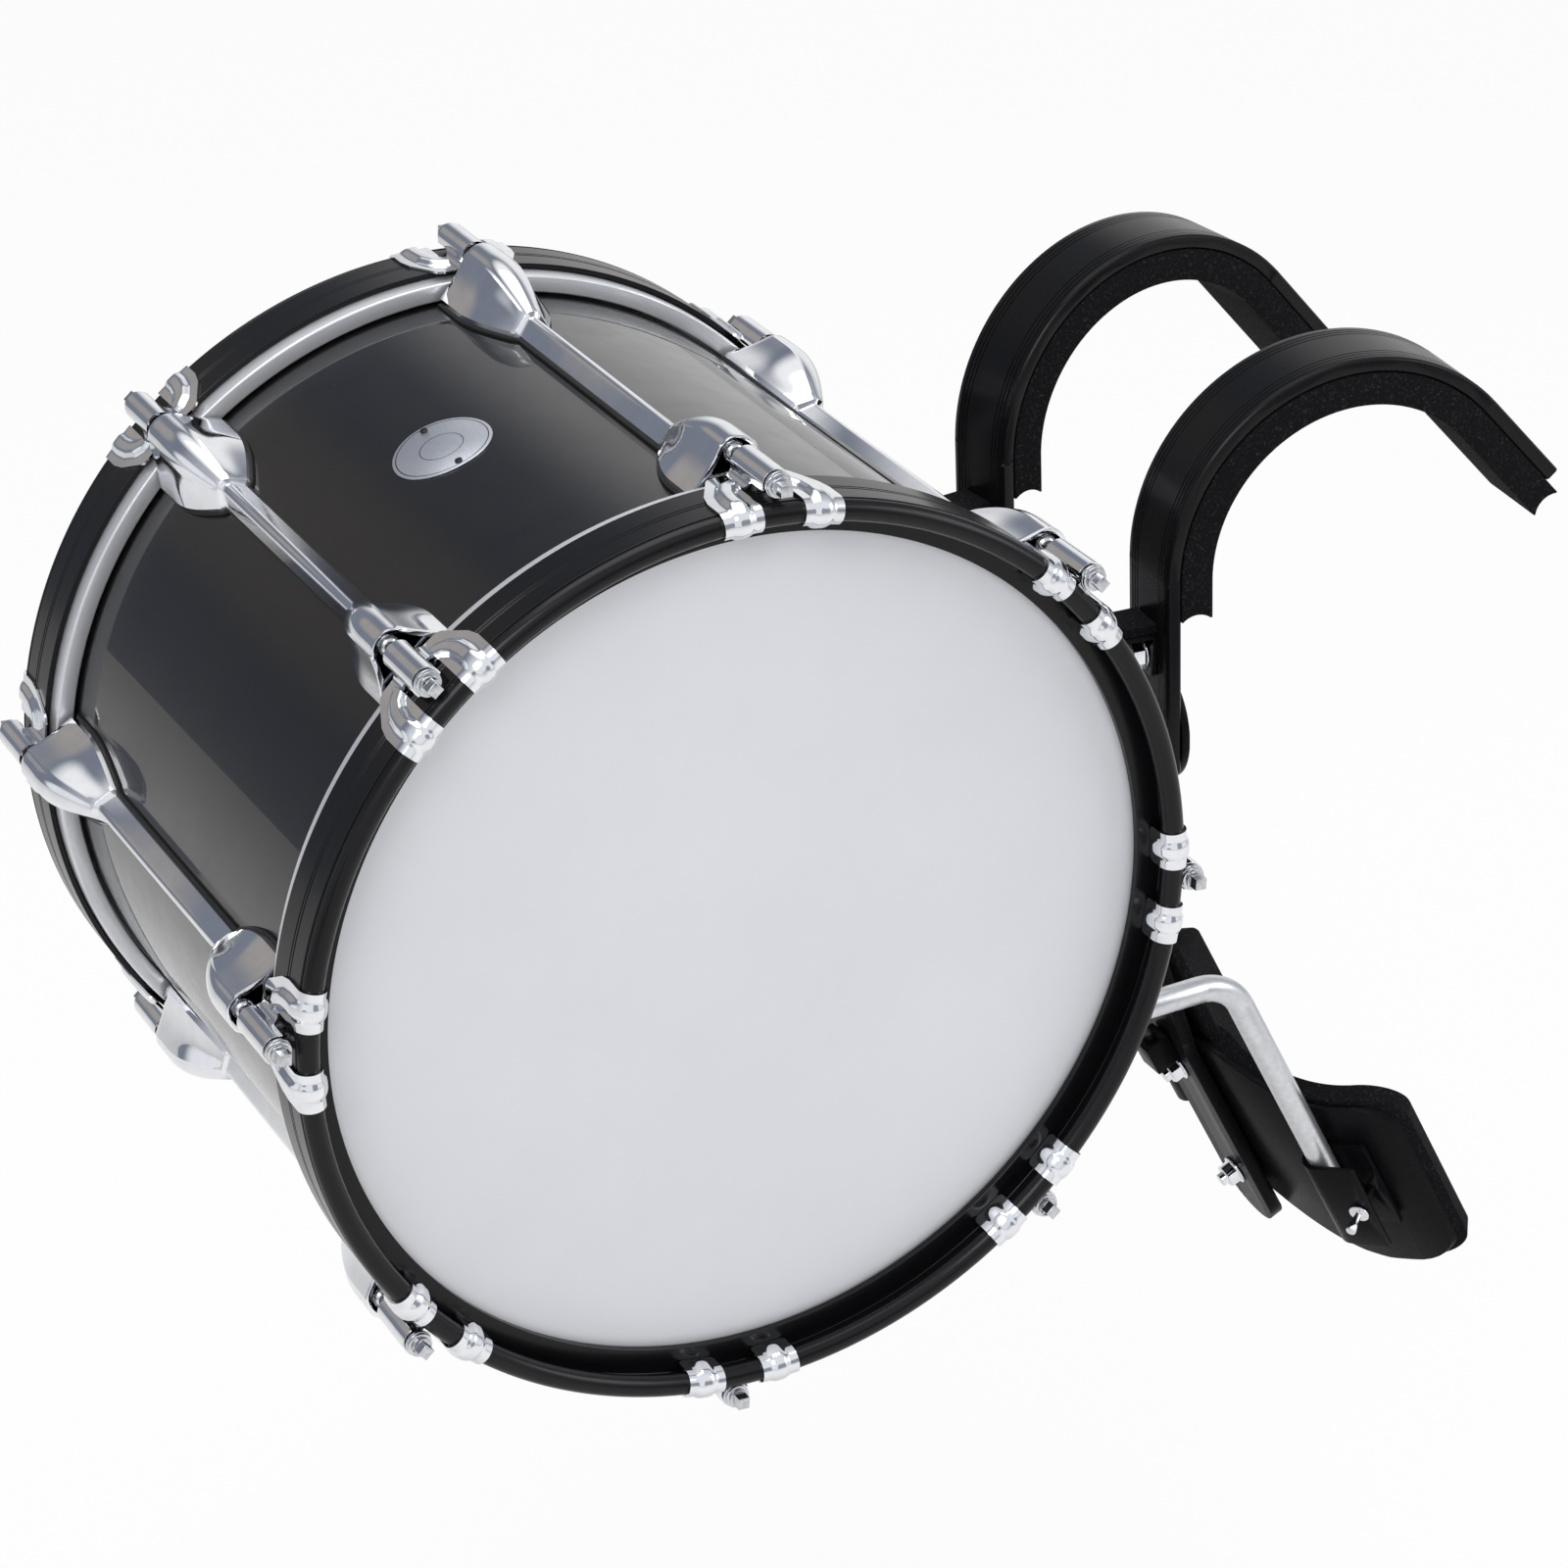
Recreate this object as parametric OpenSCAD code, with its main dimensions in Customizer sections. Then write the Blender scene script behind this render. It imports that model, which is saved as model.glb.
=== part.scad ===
// Marching bass drum hung on a shoulder carrier.
// Origin: middle of the chest plate's face on the wearer's side. +X points to the wearer, +Z up,
// +Y along the drum's axis to the wearer's right. The wearer's left hand plays the head at -Y.

/* [Drum shell and heads] */
// Outside diameter of the shell
shell_d = 457.2; // [440:0.1:480]
// Depth of the shell from edge to edge
shell_depth = 360; // [350:1:380]
// Thickness of the shell's wall
shell_wall = 7; // [5:0.5:9]
// Thickness of the head's film
film_t = 0.5; // [0.3:0.1:0.8]
// Radial width of the flesh hoop
flesh_w = 9.5; // [7:0.5:10]
// Height of the flesh hoop along the drum's axis
flesh_h = 16; // [12:0.5:18]

/* [Counter hoops] */
// Radial thickness of the hoop's wall
hoop_wall = 6.5; // [5:0.5:7]
// Height of the hoop along the drum's axis
hoop_h = 37; // [34:0.5:42]
// Diameter of the rounded lip
lip_d = 11.5; // [10:0.5:12]
// Height of the lip's top above the drum head
lip_rise = 22.5; // [20:0.5:26]

/* [Tension rods, claws and lugs] */
// Angle of the first lug from the wearer's side, upwards
first_lug_angle = -5.3; // [-10:0.1:0]
// Diameter of a tension rod
rod_d = 6; // [5:0.5:6.5]
// Distance from the hoop's outer face to the rod's axis
rod_offset = 8; // [7.5:0.1:9]
// Width across the flats of the rod's square head
key_w = 6.2; // [5:0.1:7]
// Width of one claw arm
claw_arm_w = 21.5; // [18:0.5:24]
// Distance between the middles of a claw's two arms
claw_pitch = 43; // [38:0.5:46]
// Thickness of the claw's embossed sheet
claw_t = 2.4; // [1.5:0.1:2.5]
// Width of a lug at its ends
lug_w = 47; // [40:1:52]
// Width of a lug's middle bar
lug_bar_w = 13; // [10:0.5:16]
// Distance from a lug's mouth to the near edge of the hoop
lug_clear = 14.1; // [11:0.1:16]
// Diameter of the screws that hold the lugs
lug_screw_d = 5.8; // [4:0.1:6]
// Diameter of the badge
badge_d = 53; // [40:1:60]

/* [Shoulder bars] */
// Width of the extruded bar
bar_w = 48; // [44:1:52]
// Thickness of the extruded bar
bar_t = 8; // [7:0.5:9]
// Radius of the bar's outer face over the shoulder
hook_r = 108; // [100:1:115]
// Angle that the bar turns through over the shoulder
hook_angle = 140; // [130:1:145]
// Length of the bar from its lower end to the shoulder bend
front_leg = 108; // [104:1:125]
// Length of the straight tail behind the shoulder
tail_leg = 60; // [40:1:75]
// Splay of each bar, tails outward
splay = 5.5; // [4:0.1:7]
// Thickness of the shoulder pads
shoulder_pad_t = 17.5; // [14:0.5:20]

/* [Chest plate and spine] */
// Width of the chest plate
chest_w = 236; // [234:1:240]
// Height of the chest plate
chest_h = 64; // [62:1:70]
// Thickness of the chest plate
chest_t = 4.5; // [4:0.1:6]
// Travel of the spine up and down from its rest place
spine_travel = 8; // [5:1:10]
// Tilt of the spine below the chest plate
spine_tilt = 16.5; // [14:0.1:19]
// Height of the spine's lower bend below the chest plate's middle
spine_bend_drop = 252.5; // [240:0.5:260]
// Length of the spine below its lower bend
spine_tail = 157; // [154:1:165]
// Diameter of the carrier's bolts
bolt_d = 8; // [7:0.5:8]

/* [Belly plate and sockets] */
// Tilt of the belly plate
belly_tilt = 25; // [22:0.5:28]
// Radius that the belly plate wraps around
belly_r = 160; // [150:1:175]
// Width across the belly plate's wings
belly_w = 239; // [234:1:245]
// Thickness of the belly plate
belly_t = 3; // [2:0.5:3.5]
// Thickness of the belly pad
belly_pad_t = 15; // [12:0.5:18]
// Travel of the belly plate down the spine
belly_travel = 14; // [10:1:14]
// Length of the sheet socket that clamps each tube
socket_len = 65; // [55:1:68]
// Thickness of the socket's sheet
socket_t = 3; // [2:0.5:3]

/* [Drum supports] */
// Distance from the chest plate's face to the drum's axis
drum_reach = 301; // [300:0.5:310]
// Height of the chest plate's middle above the drum's axis
drum_drop = 9.5; // [5:0.5:12]
// Diameter of the bent tubes
tube_d = 15; // [12:0.5:15.5]
// Distance of each tube from the middle
tube_y = 92; // [90:0.5:94]
// Height of the tubes' level stretch above the shell's lowest line
tube_rise = 67.6; // [64:0.1:70]
// Distance of each tube's upright end beyond the shell's radius
hook_offset = 0.4; // [0:0.1:3]
// Length of the upright end
hook_len = 52; // [45:1:56]

/* [Hidden] */
$fn = 96;
fit_gap = 0.1;      // between pieces that are screwed together or slide in each other
seat_gap = 0.3;     // between pieces that rest on each other
thread_gap = 0.06;  // around a screw in its nut
eps = 1;            // overshoot of a cutting tool
lugs = 8;
shell_r = shell_d / 2;
edge_y = shell_depth / 2;
edge_in = 3;
film_gap = 0.4;
film_y = edge_y + fit_gap + film_t;
flesh_in_r = shell_r + film_gap + film_t + 0.5;
flesh_out_r = flesh_in_r + flesh_w;
lip_r = lip_d / 2;
hoop_skirt = 2.7;
hoop_r = flesh_out_r + 0.8 + hoop_skirt;
hoop_top_y = film_y + lip_rise;
hoop_low_y = hoop_top_y - hoop_h;
lip_y = hoop_top_y - lip_r;
lip_x = hoop_r - lip_r;
rib_h = 4;
rib_y = film_y + 2;
rib_in_r = shell_r - 6;
foot_in_r = flesh_in_r + 1;
flesh_top_y = hoop_low_y + 6;
groove_w = 0.8;
groove_depth = 0.6;

rod_r = rod_d / 2;
rod_x = hoop_r + rod_offset;
lug_y = hoop_low_y - lug_clear;
lug_len = 2 * lug_y;
nut_r = 6.4;
nut_y = lug_y - 6;
rod_in_y = nut_y - 10;
barrel_r = 7.5;
barrel_y0 = hoop_low_y - 6;
barrel_y1 = hoop_top_y - 9;
washer_t = 1.5;
rod_seat_y = barrel_y1 + 2 * (washer_t + fit_gap) + 0.2;
rod_flange_t = 1.5;
rod_tip_y = hoop_top_y + 1.5;
claw_in = seat_gap;
claw_a0 = asin((claw_pitch - claw_arm_w) / 2 / hoop_r);
claw_a1 = asin((claw_pitch + claw_arm_w) / 2 / hoop_r);
claw_bridge_h = 22;
gasket_t = 1.5;
lug_seat_r = shell_r + gasket_t + fit_gap;
lug_screw_y = 112;
lug_screw_r = lug_screw_d / 2;
pod_start_y = 86;
pod_ridge_r = 9.5;
pod_base_h = 3.3;
hook_angle_on_shell = -28;
receiver_len = 34;
receiver_wall = 4.4;
receiver_screw_pitch = 34;
badge_angle = first_lug_angle + 112.5;
badge_pin_y = badge_d / 2 - 4.5;
badge_t = 0.8;

bend_y = chest_w / 2 - bar_w - 4;
bar_y = 3 + bar_w / 2;
bar_face_u = -chest_t - bar_t;
hook_z = front_leg - 17.5;
bar_low_z = -17.5;
edge_cut = 1.2;
bend_lap = 0.5;     // reach of a bar's straight stretches into its bends
bend_thin = 0.02;   // what each side of a bar gives up in a bend
bolt_r = bolt_d / 2;
bolt_head_r = 7.5;
bolt_head_t = 2.4;
bolt_washer_r = 9;
bolt_washer_t = 1.6;
nut_h = 6.5;
bracket_z = 60.5;
bracket_t = 3;
bracket_w = 25;
bracket_drop = 26;
bracket_reach = 19.5;
bracket_pad_t = 5;
bracket_bolt_z = 45;
pad_low_z = 69.5;
pad_overhang = 10;
spine_bolt_z = 13;
spine_top_z = 42;
spine_r = 80;
spine_face_x = -chest_t - seat_gap - bar_t;
spine_bend_z = -chest_h / 2 - spine_travel - 6;
spine_vertex_x = spine_face_x + bar_t + (spine_bend_drop + spine_bend_z) * tan(spine_tilt);
spine_vertex_z = -spine_bend_drop;
lower_turn = belly_tilt - spine_tilt;
back_r = spine_r - bar_t;
upper_run = (spine_vertex_x - spine_face_x - bar_t) / sin(spine_tilt);
spine_leg_2 = upper_run - back_r * (tan(spine_tilt / 2) + tan(lower_turn / 2));
spine_leg_3 = spine_tail - back_r * tan(lower_turn / 2);
spine_leg_1 = spine_top_z - spine_bend_z - back_r * tan(spine_tilt / 2);
block_top = 6;
block_len = 20;
block_w = 18;
block_depth = 15.8;
knob_r = 4;
belly_bolt_1 = 25;
belly_bolt_2 = 117;
belly_edge = 1;
belly_top = 36;
belly_low = 168;
pad_grow = 4;
pad_neck_top = 84;
sheet_over = 60;
belly_axis_n = belly_r + seat_gap;
tube_r = tube_d / 2;
socket_x = belly_r + 1 + socket_t + fit_gap + tube_r;
tube_phi = asin(tube_y / socket_x);
tube_n = belly_axis_n - socket_x * cos(tube_phi);
socket_top = 63;
socket_w = 25;
socket_screw_t = 17;
socket_screw_s = socket_top + 35;
screw_r = 3;
tube_low = socket_top + socket_len - 8;
tube_bend_r = 30;
hook_bend_r = 26;
tube_drop = shell_r - tube_rise;
hook_x = shell_r + hook_offset;
tube_level_z = -drum_drop - tube_drop;
tube_line_x = spine_vertex_x + tube_n / cos(belly_tilt);
tube_vertex_x = tube_line_x - (tube_level_z - spine_vertex_z) * tan(belly_tilt);
tube_turn = 90 - belly_tilt;
tube_up = (tube_level_z - spine_vertex_z) / cos(belly_tilt) - tube_n * tan(belly_tilt);
tube_leg_1 = tube_low + tube_up - tube_bend_r * tan(tube_turn / 2);
tube_leg_2 = tube_vertex_x + drum_reach - hook_x - hook_bend_r - tube_bend_r * tan(tube_turn / 2);
receiver_low_z = -tube_drop + hook_bend_r + seat_gap;

RODS = [for (i = [1:lugs]) str("tension_rod_front_", i), for (i = [1:lugs]) str("tension_rod_back_", i)];

function lug_angle(i) = first_lug_angle + 360 / lugs * (i - 1);

// ---------- Placing ----------

// Moves a piece from the drum's centre to the origin of the whole object
module on_drum() translate([-drum_reach, 0, -drum_drop]) children();

// side 1 is the back head at +Y, side -1 the front head at -Y
module head_side(side) {
    if (side > 0) children();
    else mirror([0, 1, 0]) children();
}

// Turns a piece drawn at the wearer's side (+X) to an angle around the drum
module around(angle) rotate([0, -angle, 0]) children();

// A ring turned about the drum's axis: its outline is drawn as [radius, distance along +Y]
module turned(angle = 360) rotate([-90, 0, 0]) rotate_extrude(angle = angle, $fn = 240) children();

// A round bar along +X that starts at x
module radial_rod(r, x, len) translate([x, 0, 0]) rotate([0, 90, 0]) cylinder(r = r, h = len);

// A round bar along +Y that starts at y
module axial_rod(r, y, len) translate([0, y, 0]) rotate([-90, 0, 0]) cylinder(r = r, h = len);

// side 1 is the wearer's right at +Y, side -1 the left at -Y
module carrier_side(side) {
    if (side > 0) children();
    else mirror([0, 1, 0]) children();
}

// The splayed frame of the right shoulder bar, with its middle line at y = 0
module shoulder_frame() translate([0, bend_y, 0]) rotate([0, 0, splay]) translate([0, bar_y, 0]) children();

// The frame of the belly plate: +X to the wearer, +Z up the slope, origin on the spine's back face
module belly_frame() translate([spine_vertex_x, 0, spine_vertex_z]) rotate([0, -belly_tilt, 0]) children();

// The frame of the right socket: +X away from the plate, +Y to the middle, origin on the plate's centre line
module socket_frame() translate([belly_axis_n, 0, 0]) rotate([0, 0, 180 - tube_phi]) children();

// ---------- Drum shell and heads ----------

module shell_profile() polygon([
    [shell_r - shell_wall, -edge_y + shell_wall - edge_in], [shell_r - edge_in, -edge_y],
    [shell_r, -edge_y + edge_in], [shell_r, edge_y - edge_in],
    [shell_r - edge_in, edge_y], [shell_r - shell_wall, edge_y - shell_wall + edge_in]]);

module screw_places() {
    for (i = [1:lugs]) around(lug_angle(i))
        for (side = [-1, 1]) translate([0, side * lug_screw_y, 0]) children();
}

module receiver_screw_places() {
    around(hook_angle_on_shell) for (side = [-1, 1]) for (end = [-1, 1])
        translate([0, side * tube_y + end * receiver_screw_pitch / 2, 0]) children();
}

module shell() {
    color([0.02, 0.02, 0.025]) difference() {
        turned() shell_profile();
        screw_places() radial_rod(lug_screw_r + seat_gap, shell_r - shell_wall - eps, shell_wall + 2 * eps);
        receiver_screw_places()
            radial_rod(lug_screw_r + seat_gap, shell_r - shell_wall - eps, shell_wall + 2 * eps);
    }
}

module head(side) {
    collar_r = shell_r + film_gap;
    collar_y = flesh_top_y - flesh_h / 2;
    low_y = edge_y + fit_gap;
    color([0.9, 0.91, 0.93]) head_side(side) turned() polygon([
        [0, low_y], [shell_r - edge_in, low_y], [collar_r, edge_y - edge_in + fit_gap],
        [collar_r, collar_y], [collar_r + film_t, collar_y],
        [collar_r + film_t, edge_y - edge_in + film_t], [shell_r - edge_in + film_t / 2, film_y], [0, film_y]]);
}

module flesh_hoop(side) {
    color([0.72, 0.73, 0.75]) head_side(side) turned() union() {
        translate([flesh_in_r, flesh_top_y - flesh_h + edge_cut])
            square([flesh_w, flesh_h - 2 * edge_cut]);
        translate([flesh_in_r + edge_cut, flesh_top_y - flesh_h])
            square([flesh_w - 2 * edge_cut, flesh_h]);
    }
}

// ---------- Counter hoops ----------

module hoop_profile() difference() {
    union() {
        translate([hoop_r - hoop_skirt, hoop_low_y]) square([hoop_skirt, hoop_h - lip_r]);
        translate([foot_in_r, flesh_top_y + seat_gap])
            square([hoop_r - foot_in_r, rib_y + rib_h - flesh_top_y - seat_gap]);
        translate([rib_in_r, rib_y]) square([hoop_r - rib_in_r, rib_h]);
        translate([hoop_r - hoop_wall, rib_y]) square([hoop_wall, lip_y - rib_y]);
        translate([lip_x, lip_y]) circle(lip_r);
    }
    for (drop = [20, 22.5]) translate([hoop_r - groove_depth, hoop_top_y - drop])
        square([groove_depth + eps, groove_w]);
    translate([hoop_r - 2 * groove_depth, lip_y - groove_w]) square([2 * groove_depth + eps, 2 * groove_w]);
}

module hoop(side) {
    color([0.03, 0.03, 0.035]) head_side(side) turned() hoop_profile();
}

// ---------- Claws, rods and lugs ----------

module claw_strap() {
    in_r = lip_r + claw_in;
    translate([lip_x, lip_y]) difference() {
        circle(in_r + claw_t);
        circle(in_r);
        translate([-2 * lip_d, -2 * lip_d]) square([4 * lip_d, 2 * lip_d]);
    }
    translate([hoop_r + claw_in, barrel_y0]) square([claw_t, lip_y - barrel_y0]);
    translate([lip_x - in_r - claw_t, rib_y + rib_h + seat_gap])
        square([claw_t, lip_y - rib_y - rib_h - seat_gap]);
}

module claw() {
    difference() {
        union() {
            for (a = [claw_a0, -claw_a1]) around(-a) turned(claw_a1 - claw_a0) claw_strap();
            around(claw_a1) turned(2 * claw_a1)
                translate([hoop_r + claw_in + fit_gap, barrel_y0 + fit_gap])
                    square([claw_t - 2 * fit_gap, claw_bridge_h]);
            translate([rod_x, 0, 0]) axial_rod(barrel_r, barrel_y0, barrel_y1 - barrel_y0);
        }
        translate([rod_x, 0, 0]) axial_rod(rod_r + 0.6, barrel_y0 - eps, barrel_y1 - barrel_y0 + 2 * eps);
    }
}

module claws(side) {
    color([0.8, 0.81, 0.83]) head_side(side) for (i = [1:lugs]) around(lug_angle(i)) claw();
}

module tension_rod(side, i) {
    color([0.7, 0.71, 0.73]) head_side(side) around(lug_angle(i)) translate([rod_x, 0, 0]) union() {
        axial_rod(rod_r, rod_in_y, rod_seat_y - rod_in_y);
        axial_rod(key_w * 0.8, rod_seat_y, rod_flange_t);
        translate([-key_w / 2, rod_seat_y + rod_flange_t, -key_w / 2])
            cube([key_w, rod_tip_y - rod_seat_y - rod_flange_t, key_w]);
    }
}

module rod_washers() {
    color([0.75, 0.76, 0.78]) for (side = [-1, 1]) head_side(side) for (i = [1:lugs])
        around(lug_angle(i)) translate([rod_x, 0, 0]) for (k = [0, 1]) difference() {
            y = barrel_y1 + fit_gap + k * (washer_t + fit_gap);
            axial_rod(barrel_r - 0.6 - k * 0.5, y, washer_t);
            axial_rod(rod_r + seat_gap, y - eps, washer_t + 2 * eps);
        }
}

module swivel_nuts() {
    color([0.75, 0.76, 0.78]) for (side = [-1, 1]) head_side(side) for (i = [1:lugs])
        around(lug_angle(i)) translate([rod_x, nut_y, 0]) rotate([-90, 0, 0]) rotate_extrude()
            intersection() {
                circle(nut_r);
                translate([rod_r + thread_gap, -nut_r]) square([nut_r, 2 * nut_r]);
            }
}

// One end of a lug: wide and high at its mouth, drawn down to the middle bar
module lug_pod() hull() {
    translate([rod_x, 0, 0]) rotate([-90, 0, 0]) translate([0, 0, lug_y - 32])
        cylinder(r = pod_ridge_r, h = 32, $fn = 32);
    translate([shell_r - 1, lug_y - 26, -lug_w / 2])
        cube([lug_seat_r - shell_r + 1 + pod_base_h, 24, lug_w]);
    translate([shell_r - 1, pod_start_y, -lug_bar_w / 2]) cube([14, 2, lug_bar_w]);
}

module lug_hollow() hull() {
    translate([shell_r - 2, lug_y - 25, -lug_w / 2 + 4]) cube([4.5, 20, lug_w - 8]);
    translate([shell_r - 2, lug_y - 50, -5]) cube([rod_x - nut_r - 3 - shell_r, 45, 10]);
}

module lug_boss() translate([0, lug_screw_y, 0]) difference() {
    radial_rod(lug_screw_r + 2, shell_r, rod_x - pod_ridge_r - shell_r + 1);
    radial_rod(lug_screw_r + fit_gap, shell_r - eps, rod_x - pod_ridge_r - shell_r);
}

module lug(i) {
    color([0.8, 0.81, 0.83]) around(lug_angle(i)) difference() {
        union() {
            difference() {
                union() {
                    for (side = [-1, 1]) head_side(side) lug_pod();
                    translate([shell_r - 1, -pod_start_y - 1, -lug_bar_w / 2])
                        cube([13, 2 * pod_start_y + 2, lug_bar_w]);
                }
                for (side = [-1, 1]) head_side(side) {
                    lug_hollow();
                    translate([rod_x, 0, 0]) {
                        axial_rod(nut_r + seat_gap, nut_y - nut_r - seat_gap, 3 * nut_r);
                        axial_rod(rod_r + 1, rod_in_y - 3, 3 * nut_r);
                    }
                }
            }
            for (side = [-1, 1]) head_side(side) lug_boss();
        }
        axial_rod(lug_seat_r, -lug_len, 2 * lug_len, $fn = 240);
    }
}

// Outline of a lug's foot on the shell, as [distance along the drum, distance across]
module lug_foot(grow) polygon([
    [lug_y + grow, lug_w / 2 + grow], [lug_y - 26 - grow, lug_w / 2 + grow],
    [pod_start_y, lug_bar_w / 2 + grow], [-pod_start_y, lug_bar_w / 2 + grow],
    [-lug_y + 26 + grow, lug_w / 2 + grow], [-lug_y - grow, lug_w / 2 + grow],
    [-lug_y - grow, -lug_w / 2 - grow], [-lug_y + 26 + grow, -lug_w / 2 - grow],
    [-pod_start_y, -lug_bar_w / 2 - grow], [pod_start_y, -lug_bar_w / 2 - grow],
    [lug_y - 26 - grow, -lug_w / 2 - grow], [lug_y + grow, -lug_w / 2 - grow]]);

module lug_gaskets() {
    color([0.05, 0.05, 0.05]) for (i = [1:lugs]) around(lug_angle(i)) difference() {
        intersection() {
            turned() translate([shell_r + fit_gap, -lug_y - 5]) square([gasket_t - fit_gap, lug_len + 10]);
            rotate([90, 0, 90]) linear_extrude(2 * shell_r) lug_foot(1);
        }
        for (side = [-1, 1]) translate([0, side * lug_screw_y, 0])
            radial_rod(lug_screw_r + seat_gap, shell_r - eps, 3 * gasket_t);
    }
}

// A screw driven outward from inside the shell, with its washer
module shell_screw(tip_x) {
    in_x = shell_r - shell_wall - seat_gap;
    radial_rod(lug_screw_r, in_x - 1, tip_x - in_x + 1);
    radial_rod(7, in_x - 1.2, 1.2);
    radial_rod(5, in_x - 4.4, 3.3);
}

module lug_screws() {
    color([0.7, 0.71, 0.73]) screw_places() shell_screw(rod_x - pod_ridge_r - 2);
}

module badge() {
    color([0.8, 0.81, 0.84]) around(badge_angle) intersection() {
        turned() translate([shell_r + fit_gap, -badge_d]) square([badge_t, 2 * badge_d]);
        radial_rod(badge_d / 2, shell_r - 10, 20);
    }
}

module badge_pins() {
    color([0.15, 0.15, 0.16]) around(badge_angle) for (side = [-1, 1])
        translate([0, side * badge_pin_y, 0]) radial_rod(2, shell_r + 2 * fit_gap + badge_t, 1);
}

// ---------- Hook receivers on the shell ----------

module hook_receiver() {
    wall_r = tube_r + receiver_wall;
    difference() {
        union() {
            around(hook_angle_on_shell) translate([shell_r - 2, tube_y - 26, -17]) cube([7, 52, 34]);
            translate([hook_x - 30, tube_y - 8, receiver_low_z]) cube([30, 16, receiver_len]);
            translate([hook_x, tube_y, receiver_low_z]) cylinder(r = wall_r, h = receiver_len);
        }
        axial_rod(shell_r + fit_gap, 0, shell_r, $fn = 240);
        translate([hook_x, tube_y, receiver_low_z - eps])
            cylinder(r = tube_r + fit_gap, h = receiver_len + 2 * eps);
        receiver_screw_places() radial_rod(lug_screw_r + fit_gap, shell_r - eps, 10);
    }
}

module hook_receivers() {
    color([0.06, 0.06, 0.065]) for (side = [-1, 1]) head_side(side) hook_receiver();
}

module receiver_screws() {
    color([0.7, 0.71, 0.73]) receiver_screw_places() shell_screw(shell_r + 5);
}

// ---------- Extruded bars ----------

// Cross-section of the extrusion: thickness along X with its outer face at x = r, width along Y.
// $thin is what each of its sides gives up in a bend.
module bar_section(r) {
    x0 = r - bar_t + $thin;
    x1 = r - $thin;
    y1 = bar_w / 2 - $thin;
    difference() {
        polygon([[x0 + edge_cut, -y1], [x1 - edge_cut, -y1], [x1, -y1 + edge_cut], [x1, y1 - edge_cut],
            [x1 - edge_cut, y1], [x0 + edge_cut, y1], [x0, y1 - edge_cut], [x0, -y1 + edge_cut]]);
        for (side = [-1, 1]) for (inset = [5, 8, 11])
            translate([r - groove_depth - $thin, side * (bar_w / 2 - inset) - groove_w / 2 - $thin])
                square([groove_depth + eps, groove_w + 2 * $thin]);
    }
}

// A section swept along straight legs and bends. It starts up +Z and bends to the -X side.
// The bends are a hair thinner than the straights, which reach a little way into them.
module swept(legs, turns, i = 0) {
    back = i > 0 ? bend_lap : 0;
    front = i < len(turns) ? bend_lap : 0;
    translate([0, 0, -back]) linear_extrude(legs[i] + back + front) let($thin = 0) children();
    if (i < len(turns)) translate([0, 0, legs[i]]) {
        rotate([90, 0, 0]) rotate_extrude(angle = turns[i], $fn = 240) let($thin = bend_thin) children();
        rotate([0, -turns[i], 0]) swept(legs, turns, i + 1) children();
    }
}

// Straight hex bolt along +X from its flush head at x = 0 to its tip at x = len, nut seated at x = nut_x
module bolt(len, nut_x) {
    radial_rod(bolt_head_r, 0, bolt_head_t);
    radial_rod(bolt_r, 0, len);
    radial_rod(bolt_washer_r, nut_x, bolt_washer_t);
    translate([nut_x + bolt_washer_t, 0, 0]) rotate([0, 90, 0]) cylinder(r = bolt_head_r, h = nut_h, $fn = 6);
}

module shoulder_place(side) carrier_side(side) shoulder_frame() children();

module shoulder_bar(side) {
    color([0.03, 0.03, 0.035]) shoulder_place(side) difference() {
        translate([bar_face_u + hook_r, 0, bar_low_z]) rotate([0, 0, 180])
            swept([front_leg, tail_leg], [hook_angle]) bar_section(hook_r);
        for (z = [0, bracket_bolt_z]) translate([0, 0, z]) radial_rod(bolt_r + fit_gap, bar_face_u - eps, 2 * bar_t);
    }
}

module shoulder_pad(side) {
    pad_r = hook_r - bar_t - seat_gap;
    leg = hook_z - pad_low_z;
    color([0.08, 0.08, 0.085]) shoulder_place(side) difference() {
        translate([bar_face_u + hook_r, 0, pad_low_z]) rotate([0, 0, 180])
            swept([leg, tail_leg + pad_overhang], [hook_angle])
                translate([pad_r - shoulder_pad_t + $thin, -bar_w / 2 + $thin])
                    square([shoulder_pad_t - 2 * $thin, bar_w - 2 * $thin]);
        // scooped ends
        translate([bar_face_u + bar_t + shoulder_pad_t / 2, 0, pad_low_z - 9])
            axial_rod(12, -bar_w, 2 * bar_w);
        translate([bar_face_u + hook_r, 0, hook_z]) rotate([0, hook_angle - 180, 0])
            translate([pad_r - shoulder_pad_t / 2, 0, -tail_leg - pad_overhang - 9])
                axial_rod(12, -bar_w, 2 * bar_w);
    }
}

// ---------- Chest plate ----------

// Plan of the plate as [x, y]: flat in the middle, with both ends bent to the drum's side
module chest_plan() {
    end_len = chest_w / 2 - bend_y;
    half = [[0, bend_y], [-end_len * sin(splay), bend_y + end_len * cos(splay)],
        [-end_len * sin(splay) - chest_t * cos(splay), bend_y + end_len * cos(splay) - chest_t * sin(splay)],
        [-chest_t, bend_y - chest_t * tan(splay / 2)]];
    polygon(concat(half, [for (i = [3:-1:0]) [half[i][0], -half[i][1]]]));
}

// Face of the plate as [y, z]: straight edges and round ends
module chest_face() {
    end_y = (chest_w - chest_h) / 2;
    square([2 * end_y, chest_h], center = true);
    for (side = [-1, 1]) translate([side * end_y, 0]) circle(chest_h / 2);
}

module bolt_hole() {
    radial_rod(bolt_r + fit_gap, -chest_t - eps, chest_t + 2 * eps);
    radial_rod(bolt_head_r + seat_gap, -bolt_head_t - 0.2, bolt_head_t + eps);
}

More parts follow.
